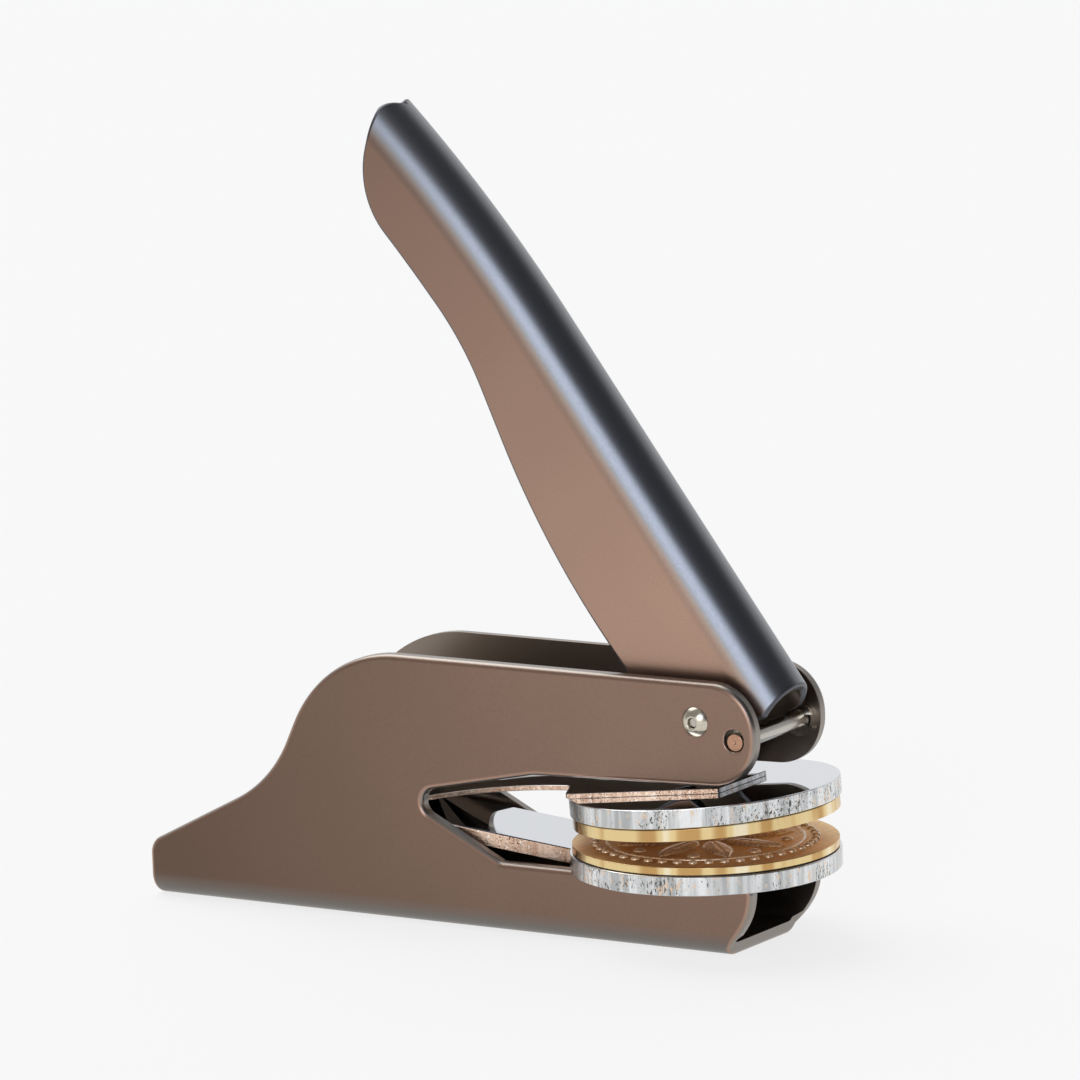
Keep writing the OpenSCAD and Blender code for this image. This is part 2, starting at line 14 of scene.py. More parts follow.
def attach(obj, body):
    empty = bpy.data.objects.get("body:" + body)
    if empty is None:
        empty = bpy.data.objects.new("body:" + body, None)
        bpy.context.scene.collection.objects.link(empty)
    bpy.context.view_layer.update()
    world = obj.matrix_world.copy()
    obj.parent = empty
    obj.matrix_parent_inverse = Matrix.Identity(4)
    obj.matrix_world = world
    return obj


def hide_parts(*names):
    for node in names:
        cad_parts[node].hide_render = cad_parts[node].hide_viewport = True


bl_info = {
    "name": "Seal Embosser",
    "version": (1, 0, 0),
    "blender": (4, 5, 0),
    "location": "3D View > Sidebar > Embosser",
    "description": "Builds the visible pieces, finishes and studio of a hand-held seal embosser",
    "category": "Add Mesh",
}

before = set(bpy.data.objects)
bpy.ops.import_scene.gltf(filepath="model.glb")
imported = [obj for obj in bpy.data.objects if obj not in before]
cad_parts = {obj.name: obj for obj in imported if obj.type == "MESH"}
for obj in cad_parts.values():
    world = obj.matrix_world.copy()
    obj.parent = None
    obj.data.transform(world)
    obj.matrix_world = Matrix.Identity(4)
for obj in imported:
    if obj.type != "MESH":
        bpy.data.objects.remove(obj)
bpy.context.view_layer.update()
MM = 0.001


def linear(hex_colour):
    """An sRGB hex colour as the linear values that Blender's sockets take."""
    parts = [int(hex_colour[i:i + 2], 16) / 255 for i in (1, 3, 5)]
    return tuple(c / 12.92 if c <= 0.04045 else ((c + 0.055) / 1.055) ** 2.4 for c in parts)


def length(name, text, mm):
    """A size that a user can change, shown in Blender's length unit."""
    return bpy.props.FloatProperty(
        name=name, description=text, default=mm * MM, min=0, precision=5, unit="LENGTH", subtype="DISTANCE")


def colour(name, text, hex_colour):
    """A colour that a user can change."""
    return bpy.props.FloatVectorProperty(
        name=name, description=text, default=linear(hex_colour), size=3, min=0, max=1, subtype="COLOR")


class EmbosserSizes(bpy.types.PropertyGroup):
    """Sizes of the details that the looks add to the CAD pieces."""
    blank_roll: length("Blanking roll", "Radius that the press rolled onto the frame's outer edges", 0.9)
    hole_roll: length("Hole roll", "Radius on the edges of the frame's holes", 0.3)
    handle_roll: length("Handle roll", "Radius that the press rolled onto the handle's edges", 0.6)
    tongue_roll: length("Tongue roll", "Radius on the sheared edges of the thick lower arm", 0.25)
    sheet_roll: length("Thin sheet roll", "Radius on the sheared edges of the thin upper arm", 0.12)
    disc_edge: length("Disc edge", "Radius on the edges of the round platens", 0.22)
    die_edge: length("Die edge", "Radius on the edges of the brass dies", 0.12)
    relief: length("Relief", "Height of the raised design on the lower die", 0.45)
    bead_count: bpy.props.IntProperty(name="Beads", description="Beads round the lower die", default=44, min=8, max=80)
    petal_count: bpy.props.IntProperty(name="Petals", description="Petals of the rosette", default=8, min=3, max=16)


class EmbosserColours(bpy.types.PropertyGroup):
    """Colours of the finishes."""
    frame_plating: colour("Frame plating", "Gunmetal plating on the flat sides of the frame", "#927869")
    # painted light: the same plating as the frame's, painted lighter on the handle
    handle_painted_lit_plating: colour("Handle plating", "Gunmetal plating on the flat sides of the handle", "#b39280")
    # painted reflection: the handle's bent back is painted grey-blue for the cool light that it reflects
    bend_plating: colour("Bend plating", "The same plating where bending has drawn it grey", "#8f9195")
    # painted shade: the frame's foot is painted darker, where shadow falls near the floor
    foot_painted_shade: colour("Foot plating", "The same plating round the frame's foot, rubbed and darker", "#7a7570")
    # partly a coppery tint and partly a painted highlight along the frame's rolled edges
    rolled_tint_and_highlight: colour("Rolled plating", "The same plating where the press rolled the edge over", "#ad8c7a")
    # a painted highlight along the frame's cut edges
    edge_painted_highlight: colour("Edge plating", "The same plating on the frame's cut edges", "#98918a")
    mouth_plating: colour("Mouth plating", "The same plating on the handle's cut edges", "#5d5e64")
    # partly the dull thin plating inside the folds, and painted paler there as painted light
    inside_plating_and_painted_light: colour("Inside plating", "The same plating, thin and dull inside the folds", "#8f8378")
    chrome: colour("Chrome", "Polished chrome", "#e3e6ea")
    brass: colour("Brass", "Turned brass rims", "#ecd29a")
    die_field: colour("Die field", "Brushed field of the lower die", "#fbd396")
    die_relief: colour("Die relief", "Raised design of the lower die", "#fff0d8")
    floor: colour("Floor", "Pale studio floor", "#f4f4f4")


def sizes():
    """The sizes as the user has set them."""
    return bpy.context.scene.embosser_sizes


def colours():
    """The colours as the user has set them."""
    return bpy.context.scene.embosser_colours


# ---- outlines in the side view ---------------------------------------------------

def polar(r, angle):
    """The point at that distance and angle in degrees."""
    a = math.radians(angle)
    return np.array((r * math.cos(a), r * math.sin(a)))


def unit(v):
    """The same direction, one long."""
    return v / np.linalg.norm(v)


def arc(centre, r, start, sweep, step=3.0):
    """Points of an arc, at most `step` degrees or 1.5 mm apart."""
    n = max(2, math.ceil(abs(sweep) / step), math.ceil(abs(math.radians(sweep)) * r / 1.5))
    return [np.array(centre) + polar(r, start + sweep * i / n) for i in range(n + 1)]


def corner(a, p, b, r):
    """Points that round the corner p between a and b to the radius r."""
    a, p, b = np.array(a, float), np.array(p, float), np.array(b, float)
    u, v = unit(a - p), unit(b - p)
    half = math.acos(float(u @ v)) / 2
    centre = p + unit(u + v) * r / math.sin(half)
    s = p + u * r / math.tan(half) - centre
    e = p + v * r / math.tan(half) - centre
    start = math.degrees(math.atan2(s[1], s[0]))
    sweep = (math.degrees(math.atan2(e[1], e[0])) - start + 180) % 360 - 180
    return arc(centre, r, start, sweep)


def rounded(points):
    """A closed outline through corners given as (x, y, radius)."""
    out = []
    for i, (x, y, r) in enumerate(points):
        if r == 0:
            out.append(np.array((x, y), float))
        else:
            out += corner(points[i - 1][:2], (x, y), points[(i + 1) % len(points)][:2], r)
    return out


def meet(p, a, q, b):
    """Where two lines meet, each given by a point and a slope in degrees."""
    ta, tb = math.tan(math.radians(a)), math.tan(math.radians(b))
    x = (q[1] - p[1] + ta * p[0] - tb * q[0]) / (ta - tb)
    return np.array((x, p[1] + ta * (x - p[0])))


def circle(centre, r, n=40):
    """A hole's outline, wound clockwise so that its sheet lies outside it."""
    return [np.array(centre) + polar(r, -360 * i / n) for i in range(n)]


def dense(points, step):
    """An open line with no stretch longer than `step`."""
    out = []
    for a, b in zip(points, points[1:]):
        n = max(1, math.ceil(np.linalg.norm(b - a) / step))
        out += [a + (b - a) * i / n for i in range(n)]
    return out + [points[-1]]


# ---- meshes --------------------------------------------------------------------

def finished(name, mesh, normals, material, body, replaces):
    """Makes an object of a mesh that has its own normals, and hangs it on the frame."""
    mesh.polygons.foreach_set("use_smooth", [True] * len(mesh.polygons))
    if normals is not None:
        mesh.normals_split_custom_set_from_vertices(normals)
    mesh.materials.append(material)
    obj = bpy.data.objects.new(name, mesh)
    bpy.context.scene.collection.objects.link(obj)
    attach(obj, body)
    if replaces:
        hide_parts(*replaces)
    return obj


def outline_normals(loop):
    """Outward normals at the points of a closed line, and how far a mitred offset goes."""
    p = np.array(loop)
    before = p - np.roll(p, 1, 0)
    after = np.roll(p, -1, 0) - p
    sides = []
    for e in (before, after):
        e = e / np.linalg.norm(e, axis=1)[:, None]
        sides.append(np.stack((e[:, 1], -e[:, 0]), 1))
    n = sides[0] + sides[1]
    n /= np.linalg.norm(n, axis=1)[:, None]
    return n, 1 / np.maximum(0.4, (n * sides[0]).sum(1))


def face_outwards(bm, normals):
    """Winds each face to agree with the normals of its points."""
    bm.verts.index_update()
    bm.normal_update()
    for face in bm.faces:
        if sum(face.normal.dot(normals[v.index]) for v in face.verts) < 0:
            face.normal_flip()


def cleaned(loop, nearest=0.02):
    """A closed line without points that lie on each other, or nearly."""
    return [p for i, p in enumerate(loop) if np.linalg.norm(p - loop[i - 1]) > nearest]


def bridge(bm, rings):
    """Joins closed rings of points, each to the next, with four-sided faces."""
    for low, high in zip(rings, rings[1:]):
        for i in range(len(low)):
            bm.faces.new((low[i - 1], low[i], high[i], high[i - 1]))


def edge_profile(roll, thick, burr=0.08):
    """A sheet's edge from its rolled side to its burr, as (inset, depth, outward, inward)."""
    profile = []
    for i in range(7):
        a = math.pi / 2 * i / 6
        profile.append((roll * (1 - math.sin(a)), roll * (1 - math.cos(a)), math.sin(a), -math.cos(a)))
    return profile + [(0, thick - burr, 1, 0), (burr * 0.3, thick - burr * 0.3, 0.7, 0.7), (burr, thick, 0, 1)]


def sheet_mesh(name, loops, thick, place, roll, cuts=(), hole_roll=None):
    """A blank of sheet metal with rolled edges, bent into place by place(u, s, t)."""
    inner_skin = 0.04  # how near the inner face a point counts as inside
    bm = bmesh.new()
    flat_normal = bm.verts.layers.float_vector.new("flat_normal")
    cut = bm.verts.layers.float.new("cut")
    inside = bm.verts.layers.float.new("inside")
    rings = []
    for loop in loops:
        profile = edge_profile(hole_roll if rings and hole_roll else roll, thick)
        loop = cleaned(loop)
        normals, reach = outline_normals(loop)
        rows = []
        for d, t, out, face in profile:
            row = []
            for p, n, k in zip(loop, normals, reach):
                q = p - n * k * d
                v = bm.verts.new((q[0], q[1], t))
                v[flat_normal] = (n[0] * out, n[1] * out, face)
                v[cut] = out
                v[inside] = 1 if t > thick - inner_skin else 0
                row.append(v)
            rows.append(row)
        bridge(bm, rows)
        rings.append(rows)
    for level in (0, -1):
        verts = [v for rows in rings for v in rows[level]]
        flat = [[Vector((v.co.x, v.co.y, 0)) for v in rows[level]] for rows in rings]
        for tri in geometry.tessellate_polygon(flat):
            bm.faces.new([verts[i] for i in tri])
    for axis, value in cuts:
        plane = Vector((value, 0, 0)) if axis == "u" else Vector((0, value, 0))
        bmesh.ops.bisect_plane(
            bm, geom=bm.verts[:] + bm.edges[:] + bm.faces[:], dist=1e-5, plane_co=plane, plane_no=plane.normalized())
    bm.verts.index_update()
    normals = []
    for v in bm.verts:
        at, eu, es, et = place(*v.co)
        n = v[flat_normal]
        normals.append(Vector(eu * n[0] + es * n[1] + et * n[2]).normalized())
        v.co = Vector(at * MM)
    face_outwards(bm, normals)
    mesh = bpy.data.meshes.new(name)
    bm.to_mesh(mesh)
    bm.free()
    mesh.attributes.remove(mesh.attributes["flat_normal"])
    return mesh, normals


def lathe_mesh(name, profile, at, axis, steps=160):
    """A turned piece: (radius, height) points from its axis to its axis, round `axis` at `at`."""
    at, axis = np.array(at, float), unit(np.array(axis, float))
    side = unit(np.cross(axis, (0.0, 1.0, 0.0) if abs(axis[1]) < 0.9 else (1.0, 0.0, 0.0)))
    across = np.cross(axis, side)
    p = np.array(profile, float)
    e = p[1:] - p[:-1]
    n = np.zeros_like(p)
    segment = np.stack((e[:, 1], -e[:, 0]), 1)  # already weighted by its length
    n[:-1] += segment
    n[1:] += segment
    bm = bmesh.new()
    cut = bm.verts.layers.float.new("cut")
    rows, normals = [], []
    for (r, h), (nr, nh) in zip(p, n):
        k = math.hypot(nr, nh)
        nr, nh = nr / k, nh / k
        count = 1 if r < 1e-6 else steps
        row = []
        for i in range(count):
            a = 2 * math.pi * i / steps
            out = side * math.cos(a) + across * math.sin(a)
            v = bm.verts.new(Vector((at + axis * h + out * r) * MM))
            v[cut] = abs(nr) if count > 1 else 0
            row.append(v)
            normals.append(Vector(out * nr + axis * nh) if count > 1 else Vector(axis * (1 if nh > 0 else -1)))
        rows.append(row)
    for low, high in zip(rows, rows[1:]):
        for i in range(steps):
            j = (i + 1) % steps
            ring = [low[i % len(low)], low[j % len(low)], high[j % len(high)], high[i % len(high)]]
            ring = [v for k, v in enumerate(ring) if v not in ring[:k]]
            bm.faces.new(ring)
    face_outwards(bm, normals)
    mesh = bpy.data.meshes.new(name)
    bm.to_mesh(mesh)
    bm.free()
    return mesh, normals


def disc_profile(r, h0, h1, edge):
    """Side of a turned disc from its lower centre out and up to its upper centre."""
    low = arc((r - edge, h0 + edge), edge, -90, 90, 15)
    high = arc((r - edge, h1 - edge), edge, 0, 90, 15)
    return [(0, h0)] + low + high + [(0, h1)]


def joined(name, parts):
    """One mesh of several meshes with their normals."""
    bm = bmesh.new()
    normals = []
    for mesh, piece_normals in parts:
        bm.from_mesh(mesh)
        normals += piece_normals
        bpy.data.meshes.remove(mesh)
    mesh = bpy.data.meshes.new(name)
    bm.to_mesh(mesh)
    bm.free()
    return mesh, normals


# ---- finishes --------------------------------------------------------------------

def add(tree, kind, values=None, links=None, **settings):
    """Adds one node with its settings, socket values and incoming links."""
    made = tree.nodes.new(kind)
    for key, value in settings.items():
        setattr(made, key, value)

    def socket(key):
        return made.inputs[key] if isinstance(key, int) else next(s for s in made.inputs if s.enabled and s.name == key)

    for key, value in (values or {}).items():
        socket(key).default_value = value
    for key, source in (links or {}).items():
        if isinstance(source, bpy.types.Node):
            source = next(s for s in source.outputs if s.enabled)
        tree.links.new(source, socket(key))
    return made


def grain(size_mm):
    """Noise scale for features of that size, on coordinates in metres."""
    return 1000 / size_mm


def rgba(c, k=1.0):
    """A colour as a socket takes it, dimmed or raised by k."""
    return (c[0] * k, c[1] * k, c[2] * k, 1)


def new_finish(name):
    """An empty material with its shader and its place on the object, in metres."""
    material = bpy.data.materials.new(name)
    material.use_nodes = True
    tree = material.node_tree
    return material, tree, tree.nodes["Principled BSDF"], add(tree, "ShaderNodeTexCoord").outputs["Object"]


def dress(tree, shader, base, rough, height, depth_mm, strength):
    """Puts a finish's colour, roughness and relief on its shader."""
    bumped = add(tree, "ShaderNodeBump", {"Strength": strength, "Distance": depth_mm * MM}, {"Height": height})
    for source, socket in ((base, "Base Color"), (rough, "Roughness"), (bumped, "Normal")):
        tree.links.new(next(s for s in source.outputs if s.enabled), shader.inputs[socket])


def gunmetal_plating(name, side_colour, bend_colour, rolled_colour, edge_colour):
    """Gunmetal plating on bead-blasted steel: satin, faintly cloudy and fine-grained. It is
    brown on the flats, with a painted pool of light above the jaws and painted shade that
    deepens towards the tail and the tip. Its bends take a painted colour: painted shade round
    the frame's foot, and a painted cool reflection on the handle's back. It is coppery where
    the press rolled the edge over; on the frame that colour is partly a tint and partly a
    painted highlight, and its paler cut edges are a painted highlight. It is dull inside,
    and painted paler there as painted light."""
    material, tree, shader, at = new_finish(name)
    c = colours()
    cut, bend, inside = (
        add(tree, "ShaderNodeAttribute", attribute_name=mark).outputs["Fac"] for mark in ("cut", "bend", "inside"))
    cloud = add(tree, "ShaderNodeTexNoise", {"Scale": grain(16), "Detail": 2.0}, {"Vector": at})
    fine = add(tree, "ShaderNodeTexNoise", {"Scale": grain(0.3), "Detail": 3.0}, {"Vector": at})
    # the real blasting grit is about 0.1 mm, drawn coarser here so that it shows
    tone = add(tree, "ShaderNodeMix", {"A": rgba(side_colour, 1.08), "B": rgba(side_colour, 1.22)},
               {"Factor": cloud}, data_type="RGBA")
    speck = add(tree, "ShaderNodeMapRange", {"From Min": 0.3, "From Max": 0.7, "To Min": 0.0, "To Max": 0.14},
                {"Value": fine})
    tone = add(tree, "ShaderNodeMix", {"B": rgba(side_colour, 0.55)}, {"Factor": speck, "A": tone}, data_type="RGBA")
    # painted light: a pool of light painted above the jaws, and painted shade that deepens with the distance from it
    # towards the tail and the tip; thick below is the share of that painted shade
    painted_light_centre, painted_light_spread = (0.002, 0, 0.052), 0.105  # metres: above the jaws, and from there to the tail
    from_painted_light_centre = add(tree, "ShaderNodeVectorMath", {1: painted_light_centre}, {0: at}, operation="DISTANCE").outputs["Value"]
    thick = add(tree, "ShaderNodeMapRange", {"From Min": 0.0, "From Max": painted_light_spread, "To Max": 0.84}, {"Value": from_painted_light_centre})
    tone = add(tree, "ShaderNodeMix", {"B": rgba(side_colour, 0.42)}, {"Factor": thick, "A": tone}, data_type="RGBA")
    # painted light: painted shade round the frame's foot, a painted cool reflection on the handle's back
    tone = add(tree, "ShaderNodeMix", {"B": rgba(bend_colour)}, {"Factor": bend, "A": tone}, data_type="RGBA")
    # on the frame these edge colours are partly a tint and partly a painted highlight
    rolled = add(tree, "ShaderNodeMapRange", {"From Min": 0.02, "From Max": 0.45}, {"Value": cut},
                 interpolation_type="SMOOTHSTEP")
    tone = add(tree, "ShaderNodeMix", {"B": rgba(rolled_colour)}, {"Factor": rolled, "A": tone}, data_type="RGBA")
    edge = add(tree, "ShaderNodeMapRange", {"From Min": 0.4, "From Max": 0.85}, {"Value": cut},
               interpolation_type="SMOOTHSTEP")
    tone = add(tree, "ShaderNodeMix", {"B": rgba(edge_colour)}, {"Factor": edge, "A": tone}, data_type="RGBA")
    # inside the folds: dull plating, painted paler as painted light
    base = add(tree, "ShaderNodeMix", {"B": rgba(c.inside_plating_and_painted_light)}, {"Factor": inside, "A": tone}, data_type="RGBA")
    rough = add(tree, "ShaderNodeMapRange", {"From Min": 0.3, "From Max": 0.7, "To Min": 0.29, "To Max": 0.36},
                {"Value": fine})
    shader.inputs["Metallic"].default_value = 1
    dress(tree, shader, base, rough, fine, 0.006, 0.5)
    return material


def rough_cut_chrome(name, edge_hexes, painted_glint_hex, pit_hex, streak, crowding):
    """Chrome plating: mirror faces from the polished sheet, and on its edges the coarse torn
    texture of the cut, which the plating follows, with dark pits and painted warm glints,
    which are painted highlights."""
    material, tree, shader, at = new_finish(name)
    cut = add(tree, "ShaderNodeAttribute", attribute_name="cut").outputs["Fac"]
    rim = add(tree, "ShaderNodeMapRange", {"From Min": 0.6, "From Max": 0.98}, {"Value": cut},
              interpolation_type="SMOOTHSTEP")
    drawn = add(tree, "ShaderNodeMapping", {"Scale": (1, 1, streak)}, {"Vector": at})
    pits = add(tree, "ShaderNodeTexNoise", {"Scale": grain(0.3), "Detail": 4.0, "Roughness": 0.7}, {"Vector": drawn})
    # the punch leaves light and dark scores from face to face, here a millimetre or so wide
    upright = add(tree, "ShaderNodeMapping", {"Scale": (1, 1, 0.06)}, {"Vector": at})
    scores = add(tree, "ShaderNodeTexNoise", {"Scale": grain(1.8), "Detail": 6.0, "Roughness": 0.6},
                 {"Vector": upright})
    light = add(tree, "ShaderNodeMapRange", {"From Min": 0.38, "From Max": 0.6}, {"Value": scores})
    patches = add(tree, "ShaderNodeTexNoise", {"Scale": grain(7), "Detail": 2.0}, {"Vector": at})
    # painted highlights: glints painted into the edge's colour
    painted_glints = add(tree, "ShaderNodeTexNoise", {"Scale": grain(0.7), "Detail": 3.0, "W": 3.0}, {"Vector": drawn},
                 noise_dimensions="4D")
    # pits crowd together in patches a few millimetres wide
    crowd = add(tree, "ShaderNodeMapRange", {"From Min": 0.4, "From Max": 0.6, "To Min": 0.33, "To Max": crowding},
                {"Value": patches}, interpolation_type="SMOOTHSTEP")
    pitted = add(tree, "ShaderNodeMath", None, {0: pits, 1: crowd}, operation="SUBTRACT")
    deep = add(tree, "ShaderNodeMapRange", {"From Min": -0.05, "From Max": 0.01, "To Min": 1.0, "To Max": 0.0},
               {"Value": pitted}, interpolation_type="SMOOTHSTEP")
    painted_glint_share = add(tree, "ShaderNodeMapRange", {"From Min": 0.56, "From Max": 0.68, "To Max": 0.85}, {"Value": painted_glints},
               interpolation_type="SMOOTHSTEP")
    dark_hex, pale_hex = edge_hexes
    tone = add(tree, "ShaderNodeMix", {"A": rgba(linear(dark_hex)), "B": rgba(linear(pale_hex))},
               {"Factor": light}, data_type="RGBA")
    tone = add(tree, "ShaderNodeMix", {"B": rgba(linear(painted_glint_hex))}, {"Factor": painted_glint_share, "A": tone}, data_type="RGBA")
    tone = add(tree, "ShaderNodeMix", {"B": rgba(linear(pit_hex))}, {"Factor": deep, "A": tone}, data_type="RGBA")
    base = add(tree, "ShaderNodeMix", {"A": rgba(colours().chrome)}, {"Factor": rim, "B": tone}, data_type="RGBA")
    edge_rough = add(tree, "ShaderNodeMapRange", {"From Min": 0.3, "From Max": 0.7, "To Min": 0.05, "To Max": 0.2},
                     {"Value": pits})
    rough = add(tree, "ShaderNodeMix", {"A": 0.03}, {"Factor": rim, "B": edge_rough}, data_type="FLOAT")
    relief = add(tree, "ShaderNodeMath", None, {0: pits, 1: rim}, operation="MULTIPLY")
    shader.inputs["Metallic"].default_value = 1
    dress(tree, shader, base, rough, relief, 0.1, 0.7)
    return material


def turned_brass(name):
    """Brass turned and polished on a lathe: bright, with broad soft bands of paler and deeper
    gold round the rim, which are painted highlights and painted darker reflections, and fine
    lines across it where the tool chattered."""
    material, tree, shader, at = new_finish(name)
    c = colours()
    drawn = add(tree, "ShaderNodeMapping", {"Scale": (1, 1, 0.02)}, {"Vector": at})
    bands = add(tree, "ShaderNodeTexNoise", {"Scale": grain(4), "Detail": 1.0}, {"Vector": drawn})
    lines = add(tree, "ShaderNodeTexNoise", {"Scale": grain(0.6), "Detail": 2.0}, {"Vector": drawn})
    # painted reflections: the deep bands are painted darker reflections and the pale bands painted highlights
    deep = add(tree, "ShaderNodeMapRange", {"From Min": 0.35, "From Max": 0.5, "To Min": 0.75, "To Max": 0.0},
               {"Value": bands}, interpolation_type="SMOOTHSTEP")
    pale = add(tree, "ShaderNodeMapRange", {"From Min": 0.54, "From Max": 0.68, "To Max": 0.8}, {"Value": bands},
               interpolation_type="SMOOTHSTEP")
    tone = add(tree, "ShaderNodeMix", {"A": rgba(c.brass), "B": rgba(linear("#bb8a4c"))}, {"Factor": deep},
               data_type="RGBA")
    tone = add(tree, "ShaderNodeMix", {"B": rgba(linear("#fff4d6"))}, {"Factor": pale, "A": tone}, data_type="RGBA")
    fade = add(tree, "ShaderNodeMapRange", {"From Min": 0.35, "From Max": 0.65, "To Min": 0.06, "To Max": 0.0},
               {"Value": lines})
    base = add(tree, "ShaderNodeMix", {"B": rgba(linear("#8a6530"))}, {"Factor": fade, "A": tone}, data_type="RGBA")
    rough = add(tree, "ShaderNodeMapRange", {"From Min": 0.3, "From Max": 0.7, "To Min": 0.16, "To Max": 0.28},
                {"Value": lines})
    shader.inputs["Metallic"].default_value = 1
    dress(tree, shader, base, rough, lines, 0.01, 0.2)
    return material


def brushed_die(name, base_colour, deep_colour, metal, low, high):
    """Etched brass, wire-brushed all one way after etching: a warm satin field with fine
    strokes and faint stains, and a brighter relief that the brush has polished. Its thin
    tarnish scatters some of the light, which is why it isn't quite all metal."""
    material, tree, shader, at = new_finish(name)
    turned = add(tree, "ShaderNodeMapping", {"Rotation": (0, 0, math.radians(35)), "Scale": (1, 0.05, 1)},
                 {"Vector": at})
    strokes = add(tree, "ShaderNodeTexNoise", {"Scale": grain(0.45), "Detail": 4.0, "Roughness": 0.6},
                  {"Vector": turned})
    stains = add(tree, "ShaderNodeTexNoise", {"Scale": grain(9), "Detail": 3.0}, {"Vector": at})
    stained = add(tree, "ShaderNodeMapRange", {"From Min": 0.4, "From Max": 0.66, "To Max": 0.5}, {"Value": stains},
                  interpolation_type="SMOOTHSTEP")
    tone = add(tree, "ShaderNodeMix", {"A": rgba(base_colour), "B": rgba(deep_colour)}, {"Factor": stained},
               data_type="RGBA")
    scored = add(tree, "ShaderNodeMapRange", {"From Min": 0.35, "From Max": 0.58, "To Min": 0.36, "To Max": 0.0},
                 {"Value": strokes})
    base = add(tree, "ShaderNodeMix", {"B": rgba(deep_colour, 0.6)}, {"Factor": scored, "A": tone}, data_type="RGBA")
    rough = add(tree, "ShaderNodeMapRange", {"From Min": 0.3, "From Max": 0.7, "To Min": low, "To Max": high},
                {"Value": strokes})
    shader.inputs["Metallic"].default_value = metal
    dress(tree, shader, base, rough, strokes, 0.02, 0.4)
    return material


def worked_metal(name, hex_colour, low, high, size_mm, stretch):
    """Small steel and nickel pieces: bright, with the fine marks of drawing or turning."""
    material, tree, shader, at = new_finish(name)
    drawn = add(tree, "ShaderNodeMapping", {"Scale": stretch}, {"Vector": at})
    marks = add(tree, "ShaderNodeTexNoise", {"Scale": grain(size_mm), "Detail": 3.0}, {"Vector": drawn})
    base = add(tree, "ShaderNodeMix", {"A": rgba(linear(hex_colour), 0.75), "B": rgba(linear(hex_colour), 1.08)},
               {"Factor": marks}, data_type="RGBA")
    rough = add(tree, "ShaderNodeMapRange", {"From Min": 0.3, "From Max": 0.7, "To Min": low, "To Max": high},
                {"Value": marks})
    shader.inputs["Metallic"].default_value = 1
    dress(tree, shader, base, rough, marks, 0.015, 0.35)
    return material


def dull_black(name, hex_colour, size_mm):
    """Black nylon as moulded, or an adhesive film's cut edge: dull, with a faint grain that
    shows only where light skims it."""
    material, tree, shader, at = new_finish(name)
    grainy = add(tree, "ShaderNodeTexNoise", {"Scale": grain(size_mm), "Detail": 3.0}, {"Vector": at})
    base = add(tree, "ShaderNodeMix", {"A": rgba(linear(hex_colour)), "B": rgba(linear(hex_colour), 1.8)},
               {"Factor": grainy}, data_type="RGBA")
    rough = add(tree, "ShaderNodeMapRange", {"From Min": 0.3, "From Max": 0.7, "To Min": 0.45, "To Max": 0.62},
                {"Value": grainy})
    dress(tree, shader, base, rough, grainy, 0.02, 0.5)
    return material


def finish(name):
    """The named finish, made the first time that it is asked for."""
    if name in bpy.data.materials:
        return bpy.data.materials[name]
    c = colours()
    make = {
        "gunmetal_frame": lambda: gunmetal_plating(
            name, c.frame_plating, c.foot_painted_shade, c.rolled_tint_and_highlight, c.edge_painted_highlight),
        "gunmetal_handle": lambda: gunmetal_plating(
            name, c.handle_painted_lit_plating, c.bend_plating, c.mouth_plating, c.mouth_plating),
        "rough_cut_chrome_disc": lambda: rough_cut_chrome(
            name, ("#b4b6b6", "#eceeef"), "#e9cdb2", "#5a5854", 0.4, 0.47),
        # painted reflection: the sheet's coppery pink edges stand in for warm surroundings reflected in the chrome
        "sheared_chrome_painted_warm_edges": lambda: rough_cut_chrome(
            name, ("#cfab92", "#efd2bc"), "#fff1e0", "#83604c", 1.0, 0.46),
        "turned_brass": lambda: turned_brass(name),
        "brushed_brass_field": lambda: brushed_die(name, c.die_field, linear("#cf9757"), 0.8, 0.36, 0.5),
        "brushed_brass_relief": lambda: brushed_die(name, c.die_relief, linear("#f2cb9a"), 0.6, 0.22, 0.34),
        "bright_nickel": lambda: worked_metal(name, "#d8d0bf", 0.12, 0.24, 0.5, (1, 1, 1)),
        "turned_steel": lambda: worked_metal(name, "#c9c5bc", 0.16, 0.3, 0.5, (1, 0.2, 1)),
        "drawn_steel": lambda: worked_metal(name, "#b9b7b3", 0.22, 0.36, 0.6, (1, 0.08, 1)),
        # painted reflection: a coppery colour standing in for warm surroundings reflected in the pin's steel ends
        "steel_end_painted_warm_reflection": lambda: worked_metal(name, "#c79a80", 0.2, 0.34, 0.3, (1, 1, 1)),
        "blued_spring_steel": lambda: worked_metal(name, "#4c5363", 0.25, 0.4, 0.6, (0.08, 1, 1)),
        "zinc_plating": lambda: worked_metal(name, "#a9abad", 0.35, 0.5, 0.8, (1, 1, 1)),
        "black_nylon": lambda: dull_black(name, "#161618", 0.4),
        "adhesive_film": lambda: dull_black(name, "#131418", 0.3),
    }
    return make[name]()


def second_finish(obj, name, chosen):
    """Gives another finish to the faces for which chosen(face) is true."""
    obj.data.materials.append(finish(name))
    for face in obj.data.polygons:
        if chosen(face):
            face.material_index = 1


# ---- places shared with the CAD frame ------------------------------------------------

# clearance of a fixed fit, of a turning fit, and of faces that rest on each other
SNUG, SLIP, REST_GAP = 0.02, 0.05, 0.1

